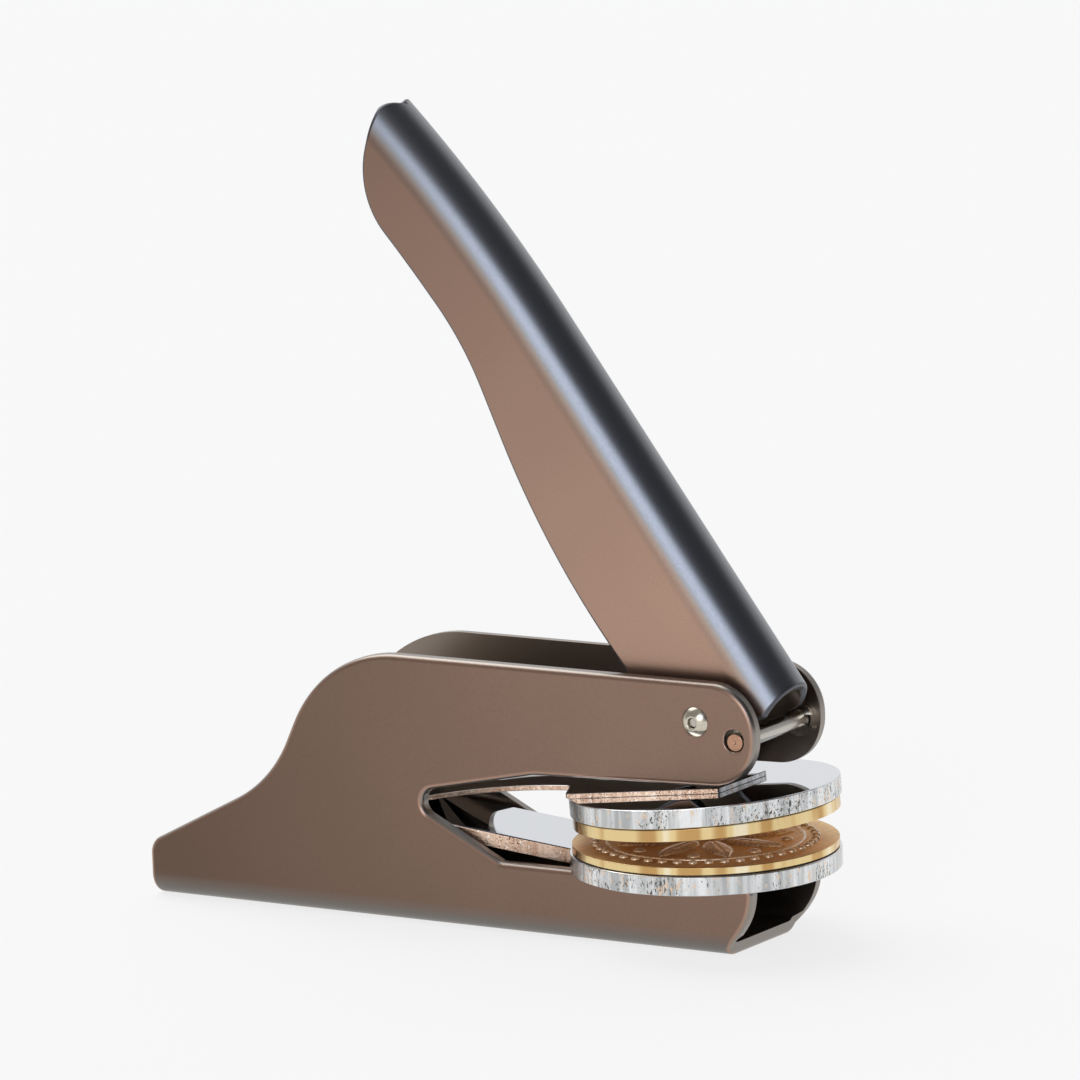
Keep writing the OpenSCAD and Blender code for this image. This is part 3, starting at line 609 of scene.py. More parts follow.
SHEET = 2.0
FRAME_HALF, BEND_R = 11.0, 3.5
TAIL, TAIL_H, TAIL_ANGLE = 97.4, 8.7, 26.5
HUMP_REACH, HUMP_ANGLE, HUMP_R = 62.9, 64, 22
BASE_REACH, LOWER_JAW_REACH, LOWER_JAW_H = 9.9, 14.6, 11.3
LIP_INSET, LIP_SHARE = 0.6, 0.58  # the lower jaw's front leans out above a waist at this share of its height
JAW_REACH, JAW_BOTTOM, FRAME_H, JAW_END_R, JAW_RISE = 15.8, 26.8026, 42.7026, 7.8, 1.65
THROAT_KNEE_BACK, THROAT_FOOT_BACK, THROAT_R = 24.3, 30.9, 2.2
THROAT_ROOF_ANGLE, THROAT_FLOOR_ANGLE = 11.4, 26.4
PIVOT = np.array((5.4, 36.5026))
PIN = PIVOT + (6.8, -2.7)
PIN_HOLE_D, PIN_D, PIN_SAG = 3.5, 2.8, 0.3
RIVET_R = 1.6

HANDLE_HALF, HANDLE_SHEET, HANDLE_R = 6.3, 1.5, 6.2
BACK_ANGLE, BACK_STRAIGHT, BOW_R, BOW_L = 53.5, 68.0, 265.0, 44.6
BACK_DIR, BACK_OUT = polar(1, 180 - BACK_ANGLE), polar(1, 90 - BACK_ANGLE)
MOUTH_OUT, MOUTH_DOWN, MOUTH_LEAN = 12.55, 3.53, (2.9, 4.1)
MOUTH_TOP = PIVOT + BACK_OUT * MOUTH_OUT - BACK_DIR * MOUTH_DOWN
BOW_START = MOUTH_TOP + BACK_DIR * BACK_STRAIGHT
BOW_CENTRE = BOW_START - BACK_OUT * BOW_R
BOW_ANGLE = math.degrees(BOW_L / BOW_R)
TIP_R, TIP_TO_END = 2.4, (4.2, 15.3)  # rounding along the back, and from the tip to the corner below it
GRIP_RUN, WAIST_RUN, HIP_RUN = polar(28.5, -49.4), polar(34.2, -66.3), polar(24, -52.2)
END_R, GRIP_R, WAIST_R, HIP_R = 14, 55, 140, 4
BOSS_R, BOSS_START, BOSS_SWEEP = 5.0, -62, 30  # the round boss in front of the cam
HANDLE_TRAVEL, ARM_TRAVEL = 40, 3.6

TILT = 4.06
ARM_H, ARM_T, ARM_HALF = 24.3026, 0.8, 7.0
ARM_AXIS = np.array((-54.0, 17.333))  # where the upper arm bends
PLATEN_R, PLATEN_T = 21.0, 3.0
DIE_R, LOWER_DIE_T, UPPER_DIE_T, BOND_T = 20.65, 1.2, 1.85, 0.15
LOWER_REST = LOWER_JAW_H + SLIP
LOWER_TOP = LOWER_REST + PLATEN_T
LOWER_FACE = LOWER_TOP + BOND_T + LOWER_DIE_T
TONGUE_SLOPE, TONGUE_T, TONGUE_HALF, TONGUE_FRONT, HEEL_END = 5.1, 2.4, 7.6, 19.0, 68.0
HEAD_BACK = 21.5
HEAD_SIDE = ((-20, ARM_HALF, 1.2), (-16.8, 13.6, 1.5), (7, 7.2, 0.5))  # neck, shoulder, front: x, y, radius
PLATEN_RIVET_XS, PLATEN_RIVET_R = (-12, -4, 3.5), 1.3
HOLLOW_R, HOLLOW_DEPTH = 18.7, 0.6  # the upper die's hollow
BEAD_CIRCLE_R, BEAD_R = 17.0, 0.72
PETAL_ROOT, PETAL_L, PETAL_HALF = 2.6, 11.4, 2.2
BOSS_CIRCLE_R, DIE_BOSS_R, CENTRE_BOSS_R = 12.6, 1.0, 1.8
RING_R, RING_HALF = 15.25, 0.25  # the thin ring inside the beads
DISC_STEPS = 240  # facets round the platens and dies
UP = polar(1, 90 + TILT)  # square to the upper platen, in the side view
FORE = polar(1, TILT)


def frame_side():
    """Side view of the frame, from the front of its base round the throat to its tail."""
    knee = (-THROAT_KNEE_BACK, JAW_BOTTOM - math.tan(math.radians(JAW_RISE)) * (JAW_REACH + THROAT_KNEE_BACK))
    foot = (-THROAT_FOOT_BACK, LOWER_JAW_H)
    tip = meet(knee, THROAT_ROOF_ANGLE, foot, -THROAT_FLOOR_ANGLE)
    hump = (-HUMP_REACH, FRAME_H)
    hollow = meet((-TAIL, TAIL_H), TAIL_ANGLE, hump, HUMP_ANGLE)
    return rounded([
        (BASE_REACH, 0, 0), (BASE_REACH, SHEET / 2, 0.6),
        (LOWER_JAW_REACH - LIP_INSET, LOWER_JAW_H * LIP_SHARE, 10), (LOWER_JAW_REACH, LOWER_JAW_H, 1.2),
        (*foot, 2), (*tip, THROAT_R), (*knee, 12),
        (JAW_REACH, JAW_BOTTOM, JAW_END_R), (JAW_REACH, FRAME_H, JAW_END_R),
        (*hump, HUMP_R), (*hollow, HUMP_R), (-TAIL, TAIL_H, 3), (-TAIL, 0, 0)])


def unfolded(side, half, r, step=0.8):
    """Both halves of a folded blank, from one side's points as (along, depth)."""
    flat = half - r

    def across(d):
        if d >= r:
            return flat + r * math.pi / 2 + d - r
        return flat + r * math.acos(max(-1.0, 1 - max(0.0, d) / r))

    one = [np.array((p[0], across(p[1]))) for p in dense(side, step)]
    return one + [np.array((p[0], -p[1])) for p in reversed(one)]


def folded(s, t, half, r):
    """Across and depth of a point of a folded sheet, with its two axes there."""
    flat, sign = half - r, 1 if s >= 0 else -1
    s = abs(s)
    if s <= flat:
        y, d, along, inward = s, t, (1, 0), (0, 1)
    elif s <= flat + r * math.pi / 2:
        a = (s - flat) / r
        y, d = flat + (r - t) * math.sin(a), r - (r - t) * math.cos(a)
        along, inward = (math.cos(a), math.sin(a)), (-math.sin(a), math.cos(a))
    else:
        y, d, along, inward = half - t, r + s - flat - r * math.pi / 2, (0, 1), (-1, 0)
    return sign * y, d, (along[0], sign * along[1]), (sign * inward[0], inward[1])


def bend_cuts(half, r, steps):
    """Where a folded blank is cut so that its bends come out round."""
    flat = half - r
    return [("s", side * (flat + r * math.pi / 2 * i / steps)) for side in (-1, 1) for i in range(steps + 1)]


def ccw(loop):
    """The loop wound anticlockwise."""
    p = np.array(loop)
    q = np.roll(p, -1, 0)
    area = (p[:, 0] * q[:, 1] - q[:, 0] * p[:, 1]).sum()
    return loop if area > 0 else loop[::-1]


def set_bend(mesh, share):
    """Marks each point's share of painted light, from share(place in mm), for the finish to read:
    painted shade round the frame's foot, a painted cool reflection on the handle's back.
    """
    layer = mesh.attributes.new("bend", "FLOAT", "POINT")
    layer.data.foreach_set("value", [min(1.0, max(0.0, share(v.co / MM))) for v in mesh.vertices])


class EMBOSSER_OT_frame(bpy.types.Operator):
    """Add the folded sheet frame with its rolled edges"""
    bl_idname = "embosser.frame"
    bl_label = "Frame"

    def execute(self, context):
        def place(u, s, t):
            y, z, along, inward = folded(s, t, FRAME_HALF, BEND_R)
            return (np.array((u, y, z)), np.array((1.0, 0, 0)),
                    np.array((0, along[0], along[1])), np.array((0, inward[0], inward[1])))

        wall = FRAME_HALF - BEND_R + BEND_R * math.pi / 2 - BEND_R
        loops = [ccw(unfolded(frame_side(), FRAME_HALF, BEND_R))]
        for sign in (-1, 1):
            loops.append(circle((PIVOT[0], sign * (wall + PIVOT[1])), RIVET_R + SNUG))
            loops.append(circle((PIN[0], sign * (wall + PIN[1] + PIN_SAG)), PIN_HOLE_D / 2))
        mesh, normals = sheet_mesh("frame_shell", loops, SHEET, place, sizes().blank_roll / MM,
                                   bend_cuts(FRAME_HALF, BEND_R, 8), sizes().hole_roll / MM)
        top, fade = BEND_R + 0.4, 2.4  # the foot's painted shade starts at that height and is full that far below
        set_bend(mesh, lambda p: (top - p.z) / fade)
        finished("frame_shell", mesh, normals, finish("gunmetal_frame"), "frame", ["frame"])
        return {"FINISHED"}


def cam_points():
    """The cam under each wall of the handle, as in the CAD source."""
    normal, sweep = 90 + TILT, HANDLE_TRAVEL + ARM_TRAVEL
    height = float((np.array((0, ARM_H)) - ARM_AXIS) @ polar(1, normal)) + ARM_T
    gap = [float((PIVOT - ARM_AXIS) @ polar(1, normal - ARM_TRAVEL * k)) - height for k in (0, 1)]
    reach, gain = gap[0] - REST_GAP, gap[1] - gap[0]
    rate = gain / math.radians(sweep)

    def point(k):
        a = normal + 180 - sweep * k
        return PIVOT + polar(reach + gain * k, a) - polar(rate, a + 90)

    return [point(1 - i / 12) for i in range(13)]


def handle_side():
    """Side view of the handle's wall, from the mouth down round the cam and up to the tip."""
    tip = BOW_CENTRE + polar(BOW_R, 90 - BACK_ANGLE + BOW_ANGLE)
    end = tip - TIP_TO_END
    grip = end + GRIP_RUN
    waist = grip + WAIST_RUN
    hip = waist + HIP_RUN
    cams = cam_points()
    stop = MOUTH_TOP - MOUTH_LEAN
    to_pin = PIN - stop
    clear = PIN_D / 2 + REST_GAP
    slope = math.degrees(math.atan2(to_pin[1], to_pin[0]) - math.asin(clear / np.linalg.norm(to_pin)))
    inner = stop + polar(np.linalg.norm(to_pin) + 1, slope)
    before_tip = tip - polar(TIP_R, 180 - BACK_ANGLE + BOW_ANGLE)
    rim = [MOUTH_TOP] + corner(MOUTH_TOP, stop, inner, 0.8) + [inner]
    rim += arc(PIVOT, BOSS_R, BOSS_START + BOSS_SWEEP, -BOSS_SWEEP) + cams[::-1]
    rim += corner(cams[0], hip, waist, HIP_R) + corner(hip, waist, grip, WAIST_R)
    rim += corner(waist, grip, end, GRIP_R) + corner(grip, end, tip, END_R)
    return rim + corner(end, tip, before_tip, TIP_R / 2)


class EMBOSSER_OT_handle(bpy.types.Operator):
    """Add the lever handle, a channel with a bowed back and cams on its walls"""
    bl_idname = "embosser.handle"
    bl_label = "Handle"

    def execute(self, context):
        def unbowed(p):
            q = p - BOW_START
            if float(q @ BACK_DIR) <= 0:
                return np.array((float(q @ BACK_DIR), max(0.0, -float(q @ BACK_OUT))))
            q = p - BOW_CENTRE
            angle = math.degrees(math.atan2(q[1], q[0])) - (90 - BACK_ANGLE)
            return np.array((math.radians(angle) * BOW_R, max(0.0, BOW_R - np.linalg.norm(q))))

        def place(u, s, t):
            y, d, along, inward = folded(s, t, HANDLE_HALF, HANDLE_R)
            turn = max(0.0, math.degrees(u / BOW_R))
            out, up = polar(1, 90 - BACK_ANGLE + turn), polar(1, 180 - BACK_ANGLE + turn)
            at = BOW_START + BACK_DIR * u - out * d if u <= 0 else BOW_CENTRE + out * (BOW_R - d)
            return (np.array((at[0], y, at[1])), np.array((up[0], 0, up[1])),
                    np.array((-out[0] * along[1], along[0], -out[1] * along[1])),
                    np.array((-out[0] * inward[1], inward[0], -out[1] * inward[1])))

        wall = HANDLE_HALF - HANDLE_R + HANDLE_R * math.pi / 2 - HANDLE_R
        loops = [ccw(unfolded([unbowed(p) for p in handle_side()], HANDLE_HALF, HANDLE_R))]
        u, d = unbowed(PIVOT)
        loops += [circle((u, sign * (wall + d)), RIVET_R + SLIP) for sign in (-1, 1)]
        cuts = bend_cuts(HANDLE_HALF, HANDLE_R, 12) + [("u", 1e-4 + BOW_L * i / 24) for i in range(24)]
        mesh, normals = sheet_mesh("handle_shell", loops, HANDLE_SHEET, place, sizes().handle_roll / MM, cuts)
        side, fade = HANDLE_HALF + 0.01, 0.5  # the painted cool reflection starts at the walls and is full that far in
        set_bend(mesh, lambda p: (side - abs(p.y)) / fade)
        finished("handle_shell", mesh, normals, finish("gunmetal_handle"), "handle", ["handle"])
        return {"FINISHED"}


class EMBOSSER_OT_pivot(bpy.types.Operator):
    """Add the pivot rivets' domed heads and stems, and the turned stop pin"""
    bl_idname = "embosser.pivot"
    bl_label = "Pivot and stop pin"

    def execute(self, context):
        heads, stems = [], []
        head_r, head_h, bore_r = 2.35, 1.1, 0.76
        bulb_r, bulb_top, bulb_end = 2.05, 6.3, 7.9  # the rivet's swollen blind end
        ball = (head_r ** 2 + head_h ** 2) / (2 * head_h)
        lip = math.degrees(math.asin(head_r / ball))
        for side in (-1, 1):
            at = (PIVOT[0], side * FRAME_HALF, PIVOT[1])
            dome = [(ball * math.sin(math.radians(a)), ball * math.cos(math.radians(a)) - ball + head_h)
                    for a in np.linspace(lip, 22, 14)]
            recess = [(0.8, head_h - 0.12), (bore_r, head_h - 0.5)]
            bulb = [(bore_r, -bulb_end), (bulb_r, -bulb_end), (bulb_r, -bulb_top)]
            body = [(RIVET_R, 0.1 - bulb_top), (RIVET_R, -0.05), (head_r - 0.1, 0)]
            profile = bulb + body + dome + recess + bulb[:1]
            heads.append(lathe_mesh("rivet", profile, at, (0, side, 0), 64))
            stem = [(0, -8.6), (0.5, -8.55), (0.74, -8.3), (0.74, 0.42), (0.6, 0.5), (0.35, 0.44), (0, 0.5)]
            stems.append(lathe_mesh("stem", stem, at, (0, side, 0), 40))
        mesh, normals = joined("rivet_heads", heads)
        finished("rivet_heads", mesh, normals, finish("bright_nickel"), "frame", ["pivot_rivets"])
        mesh, normals = joined("snapped_stems", stems)
        finished("snapped_stems", mesh, normals, finish("turned_steel"), "frame", ["rivet_stems"])

        half, groove_r = FRAME_HALF - 0.3, PIN_D / 2 - 0.35
        groove_in, groove_out, slant = 8.25, 8.98, 0.03
        # a turned end: its rounded edge, two fine rings and a centre mark
        edge = arc((PIN_D / 2 - 0.18, half - 0.18), 0.18, 0, 90, 15)
        turned = [(1.05, half), (1.0, half - 0.05), (0.95, half), (0.6, half), (0.55, half - 0.05), (0.5, half),
                  (0.22, half), (0.12, half - 0.12), (0, half - 0.14)]
        groove = [(PIN_D / 2, groove_in), (groove_r, groove_in + slant),
                  (groove_r, groove_out - slant), (PIN_D / 2, groove_out)]
        one_end = groove + edge + turned
        profile = [(r, -h) for r, h in reversed(one_end)] + one_end
        mesh, normals = lathe_mesh("stop_pin_turned", profile, (PIN[0], 0, PIN[1]), (0, 1, 0), 64)
        pin = finished("stop_pin_turned", mesh, normals, finish("turned_steel"), "stop_pin", ["stop_pin"])
        # the pin's end faces get the painted warm reflection
        second_finish(pin, "steel_end_painted_warm_reflection", lambda f: abs(f.normal.y) > 0.5 and abs(f.center.y) > 10 * MM)
        return {"FINISHED"}


def on_upper(x, lift):
    """A point over the upper platen's top face, in the side view."""
    return np.array((0, ARM_H)) + FORE * x + UP * lift


class EMBOSSER_OT_lower_holder(bpy.types.Operator):
    """Add the lower platen with its tongue"""
    bl_idname = "embosser.lower_holder"
    bl_label = "Lower platen"

    def execute(self, context):
        disc = lathe_mesh("disc", disc_profile(PLATEN_R, 0, PLATEN_T, sizes().disc_edge / MM),
                          (0, 0, LOWER_REST), (0, 0, 1), DISC_STEPS)
        slope = math.radians(TONGUE_SLOPE)
        fore, up = np.array((math.cos(slope), -math.sin(slope))), np.array((math.sin(slope), math.cos(slope)))
        foot = np.array((-TONGUE_FRONT, LOWER_REST))

        def place(u, s, t):
            at = foot + fore * u + up * (TONGUE_T - t)
            return (np.array((at[0], s, at[1])), np.array((fore[0], 0, fore[1])),
                    np.array((0, 1.0, 0)), np.array((-up[0], 0, -up[1])))

        back = -(HEEL_END - TONGUE_FRONT) / math.cos(slope)
        w, sink = TONGUE_HALF, 0.6  # how far it runs into the disc
        loop = ccw(rounded([(back, -w, 3), (sink, -w, 0), (sink, w, 0), (back, w, 3)]))
        tongue = sheet_mesh("tongue", [loop], TONGUE_T, place, sizes().tongue_roll / MM)
        mesh, normals = joined("lower_platen_plate", [disc, tongue])
        plate = finished("lower_platen_plate", mesh, normals, finish("rough_cut_chrome_disc"), "die_holder",
                         ["lower_platen"])
        beyond = (PLATEN_R + 0.05) * MM  # from here on it is the tongue
        second_finish(plate, "sheared_chrome_painted_warm_edges", lambda f: math.hypot(f.center.x, f.center.y) > beyond)
        return {"FINISHED"}


class EMBOSSER_OT_upper_holder(bpy.types.Operator):
    """Add the spring arm with its flat head, and the upper platen"""
    bl_idname = "embosser.upper_holder"
    bl_label = "Upper platen and arm"

    def execute(self, context):
        join = on_upper(-HEAD_BACK, ARM_T / 2)
        run, rise = join - ARM_AXIS
        heel_angle = 2 * math.degrees(math.atan2(rise, run)) - TILT
        r = run / (math.sin(math.radians(heel_angle)) - math.sin(math.radians(TILT)))
        centre = join - polar(r, 90 + TILT)
        bow_l = math.radians(heel_angle - TILT) * r

        def place(u, s, t):
            if u >= 0:
                out, along = UP, FORE
                at = join + FORE * u + UP * (ARM_T / 2 - t)
            else:
                angle = 90 + TILT + math.degrees(-u / r)
                out, along = polar(1, angle), polar(1, angle - 90)
                at = centre + out * (r + ARM_T / 2 - t)
            return (np.array((at[0], s, at[1])), np.array((along[0], 0, along[1])),
                    np.array((0, 1.0, 0)), np.array((-out[0], 0, -out[1])))

        side = [(-bow_l, ARM_HALF, 0.3)] + [(HEAD_BACK + x, y, c) for x, y, c in HEAD_SIDE]
        loop = ccw(rounded(side + [(x, -y, c) for x, y, c in reversed(side)]))
        holes = [circle((HEAD_BACK + x, 0), PLATEN_RIVET_R + SNUG, 24) for x in PLATEN_RIVET_XS]
        cuts = [("u", -bow_l * i / 20) for i in range(20)]
        mesh, normals = sheet_mesh("spring_arm_sheet", [loop] + holes, ARM_T, place, sizes().sheet_roll / MM, cuts)
        arm = finished("spring_arm_sheet", mesh, normals, finish("sheared_chrome_painted_warm_edges"), "upper_arm", ["spring_arm"])
        # the head's forward-facing edge takes the silvery finish as a painted cool reflection
        second_finish(arm, "rough_cut_chrome_disc", lambda f: f.normal.x > 0.6)

        mesh, normals = lathe_mesh("upper_platen_disc", disc_profile(PLATEN_R, -PLATEN_T, 0, sizes().disc_edge / MM),
                                   (0, 0, ARM_H), (UP[0], 0, UP[1]), DISC_STEPS)
        finished("upper_platen_disc", mesh, normals, finish("rough_cut_chrome_disc"), "upper_arm", ["upper_platen"])
        return {"FINISHED"}


def petal_mesh(bm, length_mm, half, height, root, angle, lift):
    """A crowned leaf with a vein, laid on the die with its root towards the centre."""
    turn = math.radians(angle)
    vein_half, vein_depth = 0.16, 0.3 * height
    rows = []
    for i in range(25):
        k = i / 24
        w = half * math.sin(math.pi * (0.03 + 0.94 * k) ** 0.85)  # widest a little before the middle
        x = root + length_mm * k
        row = []
        for j in range(-8, 9):
            f = j / 8
            z = height * math.sqrt(max(0.0, 1 - f * f)) * min(1, 2.2 * math.sin(math.pi * (0.02 + 0.96 * k)) + 0.1)
            z -= vein_depth * math.exp(-(f * w / vein_half) ** 2) if 0.05 < k < 0.95 else 0
            y = f * w
            row.append(bm.verts.new(Vector((
                (x * math.cos(turn) - y * math.sin(turn)) * MM, (x * math.sin(turn) + y * math.cos(turn)) * MM,
                (lift + z) * MM))))
        rows.append(row)
    for a, b in zip(rows, rows[1:]):
        for j in range(16):
            bm.faces.new((a[j], a[j + 1], b[j + 1], b[j]))


def level_ring(bm, x, y, r, z, steps):
    """Points of a level circle round (x, y)."""
    turns = [2 * math.pi * i / steps for i in range(steps)]
    return [bm.verts.new(Vector((x + r * math.cos(a), y + r * math.sin(a), z)) * MM) for a in turns]


def dome_mesh(bm, x, y, r, height, lift, steps=18):
    """A bead or boss as a round dome."""
    rises = [math.pi / 2 * k / 6 for k in range(6)]
    rings = [level_ring(bm, x, y, r * math.cos(a), lift + height * math.sin(a), steps) for a in rises]
    top = bm.verts.new(Vector((x, y, lift + height)) * MM)
    bridge(bm, rings)
    for i in range(steps):
        bm.faces.new((rings[-1][i - 1], rings[-1][i], top))


def rib_mesh(bm, r, half, height, lift, steps=160):
    """A thin raised ring, round on top."""
    turns = [math.pi * k / 6 for k in range(7)]
    bridge(bm, [level_ring(bm, 0, 0, r + half * math.cos(a), lift + height * math.sin(a), steps) for a in turns])


class EMBOSSER_OT_dies(bpy.types.Operator):
    """Add the two brass dies, the lower one with its rosette and ring of beads"""
    bl_idname = "embosser.dies"
    bl_label = "Brass dies"

    def execute(self, context):
        edge = sizes().die_edge / MM
        base = LOWER_TOP + BOND_T
        mesh, normals = lathe_mesh("lower_die_disc", disc_profile(DIE_R, 0, LOWER_DIE_T, edge), (0, 0, base), (0, 0, 1),
                                   DISC_STEPS)
        die = finished("lower_die_disc", mesh, normals, finish("turned_brass"), "die_holder", ["lower_die"])
        second_finish(die, "brushed_brass_field", lambda f: f.normal.z > 0.9)

        relief = sizes().relief / MM
        bm = bmesh.new()
        beads, petals = sizes().bead_count, sizes().petal_count
        foot = LOWER_FACE - 0.01  # sunk a little, so that no gap shows under the design
        for i in range(beads):
            dome_mesh(bm, *polar(BEAD_CIRCLE_R, 360 * i / beads), BEAD_R, relief, foot)
        for i in range(petals):
            angle = 360 * i / petals
            petal_mesh(bm, PETAL_L, PETAL_HALF, relief, PETAL_ROOT, angle, foot)
            dome_mesh(bm, *polar(BOSS_CIRCLE_R, angle + 180 / petals), DIE_BOSS_R, relief, foot)
        dome_mesh(bm, 0, 0, CENTRE_BOSS_R, relief, foot, 32)
        rib_mesh(bm, RING_R, RING_HALF, relief / 2, foot)
        bmesh.ops.recalc_face_normals(bm, faces=bm.faces)
        for face in bm.faces:
            if face.normal.z < -1e-4:
                face.normal_flip()
        mesh = bpy.data.meshes.new("lower_die_relief")
        bm.to_mesh(mesh)
        bm.free()
        finished("lower_die_relief", mesh, None, finish("brushed_brass_relief"), "die_holder", [])

        slant, lip = 0.3, 0.05  # bevels at the hollow's floor and mouth
        hollow = [(0, HOLLOW_DEPTH), (HOLLOW_R - slant, HOLLOW_DEPTH), (HOLLOW_R, HOLLOW_DEPTH - slant),
                  (HOLLOW_R, lip), (HOLLOW_R + lip, 0)]
        profile = (hollow + arc((DIE_R - edge, edge), edge, -90, 90, 15)
                   + arc((DIE_R - edge, UPPER_DIE_T - edge), edge, 0, 90, 15) + [(0, UPPER_DIE_T)])
        at = on_upper(0, -PLATEN_T - BOND_T - UPPER_DIE_T)
        mesh, normals = lathe_mesh("upper_die_disc", profile, (at[0], 0, at[1]), (UP[0], 0, UP[1]), DISC_STEPS)
        die = finished("upper_die_disc", mesh, normals, finish("turned_brass"), "upper_arm", ["upper_die"])
        second_finish(die, "brushed_brass_field", lambda f: f.normal.z < -0.9)
        return {"FINISHED"}


class EMBOSSER_OT_fittings(bpy.types.Operator):
    """Give the washers, rings, rivets, block, screws, latch and films their finishes"""
    bl_idname = "embosser.fittings"
    bl_label = "Small fittings"

    def execute(self, context):
        names = {
            "pivot_washers": "zinc_plating", "stop_pin_rings": "bright_nickel", "platen_rivets": "drawn_steel",
            "heel_rivets": "bright_nickel", "arm_heel": "sheared_chrome_painted_warm_edges", "heel_block": "black_nylon",
            "block_screw": "drawn_steel", "latch_spring": "blued_spring_steel", "latch_screw": "drawn_steel",
            "lower_die_bond": "adhesive_film", "upper_die_bond": "adhesive_film"}
        for node, name in names.items():
            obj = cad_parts[node]
            if not obj.material_slots:
                obj.data.materials.append(None)
            for slot in obj.material_slots:
                slot.material = finish(name)
        return {"FINISHED"}


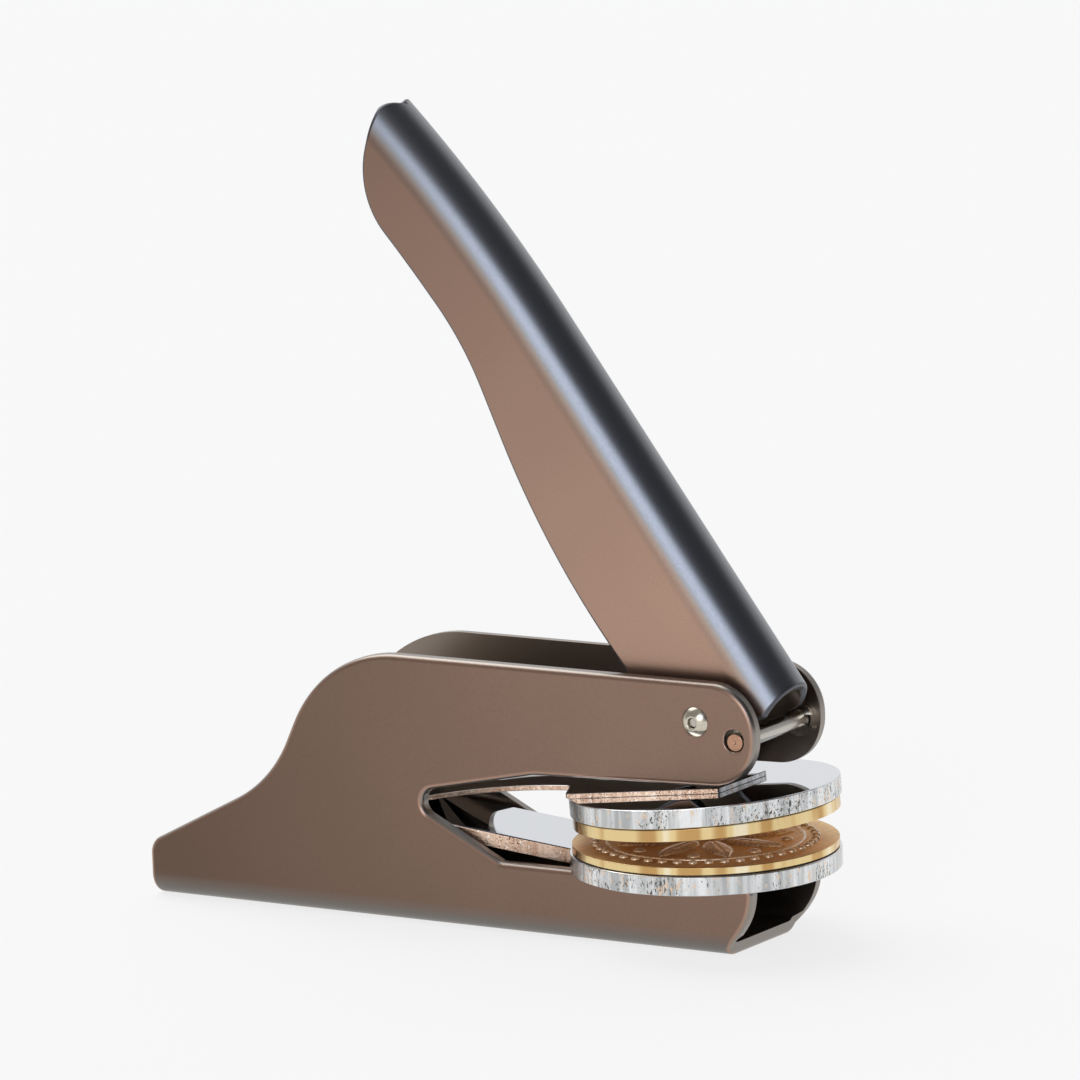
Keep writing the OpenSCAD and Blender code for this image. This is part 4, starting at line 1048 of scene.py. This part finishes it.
class EMBOSSER_OT_studio(bpy.types.Operator):
    """Add the pale floor, the soft surroundings that light it all, and the camera"""
    bl_idname = "embosser.studio"
    bl_label = "Studio"

    def execute(self, context):
        scene = context.scene
        scene.view_settings.view_transform = "Standard"
        mesh = bpy.data.meshes.new("studio_floor")
        r = 4.0  # metres, half the floor's width
        mesh.from_pydata([(-r, -r, 0), (r, -r, 0), (r, r, 0), (-r, r, 0)], [], [(0, 1, 2, 3)])
        floor = bpy.data.objects.new("studio_floor", mesh)
        scene.collection.objects.link(floor)
        material, tree, shader, at = new_finish("pale_paper")
        fibres = add(tree, "ShaderNodeTexNoise", {"Scale": grain(40), "Detail": 2.0}, {"Vector": at})
        paper = add(tree, "ShaderNodeMix", {"A": rgba(colours().floor, 0.98), "B": rgba(colours().floor)},
                    {"Factor": fibres}, data_type="RGBA")
        tree.links.new(paper.outputs[2], shader.inputs["Base Color"])
        shader.inputs["Roughness"].default_value = 0.9
        shader.inputs["Specular IOR Level"].default_value = 0.2
        # the camera and bright metal see paper that is nearly white, and still the shadow on it
        seen = add(tree, "ShaderNodeLightPath")
        glossy = add(tree, "ShaderNodeMath", None, {0: seen.outputs["Is Camera Ray"], 1: seen.outputs["Is Glossy Ray"]},
                     operation="MAXIMUM")
        any_ray = add(tree, "ShaderNodeMath", None, {0: glossy, 1: seen.outputs["Is Transmission Ray"]},
                      operation="MAXIMUM")
        glow = 0.77  # how much of the paper they see as plain white
        share = add(tree, "ShaderNodeMath", {1: glow}, {0: any_ray}, operation="MULTIPLY")
        white = add(tree, "ShaderNodeEmission", {"Color": (1.0, 1.0, 1.0, 1), "Strength": 1.0})
        both = add(tree, "ShaderNodeMixShader", None, {0: share, 1: shader, 2: white})
        tree.links.new(both.outputs[0], tree.nodes["Material Output"].inputs["Surface"])
        mesh.materials.append(material)

        world = bpy.data.worlds.new("studio")
        world.use_nodes = True
        tree = world.node_tree
        ray = add(tree, "ShaderNodeTexCoord").outputs["Generated"]
        # soft studio surroundings: a pale room, dark in front and dim behind, a lamp and a cool window
        room, backdrop = (0.83, 0.83, 0.84), (0.95, 0.95, 0.95)
        # each part's direction, the cosines at which it fades in and is full, and its level
        parts = [
            ((0.72, 0.05, 0.69), 0.30, 0.90, (0.07, 0.07, 0.08)),  # dark ceiling in front
            ((-0.50, -0.55, 0.66), 0.45, 0.85, (0.34, 0.33, 0.33)),  # dim room behind the camera
            ((-0.51, 0.14, 0.85), 0.84, 0.97, (3.0, 3.0, 3.0)),  # soft lamp overhead
            ((0.02, -0.98, 0.17), 0.955, 0.992, (1.5, 1.42, 1.22)),  # warm side of the window
            ((0.34, -0.85, 0.41), 0.93, 0.985, (2.35, 2.55, 3.0)),  # cool middle of the window
        ]
        current = add(tree, "ShaderNodeRGB")
        current.outputs[0].default_value = rgba(room)
        for direction, low, high, level in parts:
            near = add(tree, "ShaderNodeVectorMath", {1: Vector(direction).normalized()}, {0: ray},
                       operation="DOT_PRODUCT").outputs["Value"]
            share = add(tree, "ShaderNodeMapRange", {"From Min": low, "From Max": high}, {"Value": near},
                        interpolation_type="SMOOTHSTEP")
            current = add(tree, "ShaderNodeMix", {"B": rgba(level)}, {"Factor": share, "A": current}, data_type="RGBA")
        seen = add(tree, "ShaderNodeLightPath").outputs["Is Camera Ray"]
        current = add(tree, "ShaderNodeMix", {"B": rgba(backdrop)}, {"Factor": seen, "A": current}, data_type="RGBA")
        tree.links.new(current.outputs[2], tree.nodes["Background"].inputs["Color"])
        scene.world = world

        a, e, roll = (math.radians(v) for v in (31.65, 13.18, -1.694))  # azimuth, elevation, roll
        distance = 1.235594  # metres, from the origin
        # the lens and the origin's place in the picture, in pixels of its 1080 x 1080
        picture, focal, origin_x, origin_y = 1080, 8000.0, 708.785, 937.91
        back = Vector((math.sin(a) * math.cos(e), -math.cos(a) * math.cos(e), math.sin(e)))
        right = Vector((math.cos(a), math.sin(a), 0))
        up = back.cross(right)
        across = right * math.cos(roll) + up * math.sin(roll)
        high = up * math.cos(roll) - right * math.sin(roll)
        off_x, off_y = (picture / 2 - origin_x) / focal, (picture / 2 - origin_y) / focal
        aim = (-back + across * off_x - high * off_y).normalized()
        data = bpy.data.cameras.new("photo_view")
        data.sensor_width = 36
        data.lens = focal / picture * data.sensor_width
        data.clip_start, data.clip_end = 0.05, 50
        camera = bpy.data.objects.new("photo_view", data)
        scene.collection.objects.link(camera)
        side = aim.cross(high).normalized()
        top = side.cross(aim)
        turn = Matrix((side, top, -aim)).transposed().to_4x4()
        turn.translation = back * distance
        camera.matrix_world = turn
        scene.camera = camera
        return {"FINISHED"}


PIECES = (EMBOSSER_OT_frame, EMBOSSER_OT_handle, EMBOSSER_OT_pivot, EMBOSSER_OT_lower_holder,
          EMBOSSER_OT_upper_holder, EMBOSSER_OT_dies, EMBOSSER_OT_fittings, EMBOSSER_OT_studio)


class EMBOSSER_PT_panel(bpy.types.Panel):
    """Lists the embosser's pieces, sizes and colours"""
    bl_idname = "EMBOSSER_PT_panel"
    bl_label = "Seal Embosser"
    bl_space_type = "VIEW_3D"
    bl_region_type = "UI"
    bl_category = "Embosser"

    def draw(self, context):
        for group in (context.scene.embosser_sizes, context.scene.embosser_colours):
            box = self.layout.box()
            for key in group.bl_rna.properties.keys():
                if key not in {"rna_type", "name"}:
                    box.prop(group, key)
        for piece in PIECES:
            self.layout.operator(piece.bl_idname)


CLASSES = (EmbosserSizes, EmbosserColours, *PIECES, EMBOSSER_PT_panel)


def register():
    for cls in CLASSES:
        bpy.utils.register_class(cls)
    bpy.types.Scene.embosser_sizes = bpy.props.PointerProperty(type=EmbosserSizes)
    bpy.types.Scene.embosser_colours = bpy.props.PointerProperty(type=EmbosserColours)


def unregister():
    del bpy.types.Scene.embosser_sizes
    del bpy.types.Scene.embosser_colours
    for cls in reversed(CLASSES):
        bpy.utils.unregister_class(cls)


def main():
    register()
    for piece in PIECES:
        group, name = piece.bl_idname.split(".")
        getattr(getattr(bpy.ops, group), name)()


if __name__ == "__main__":
    main()
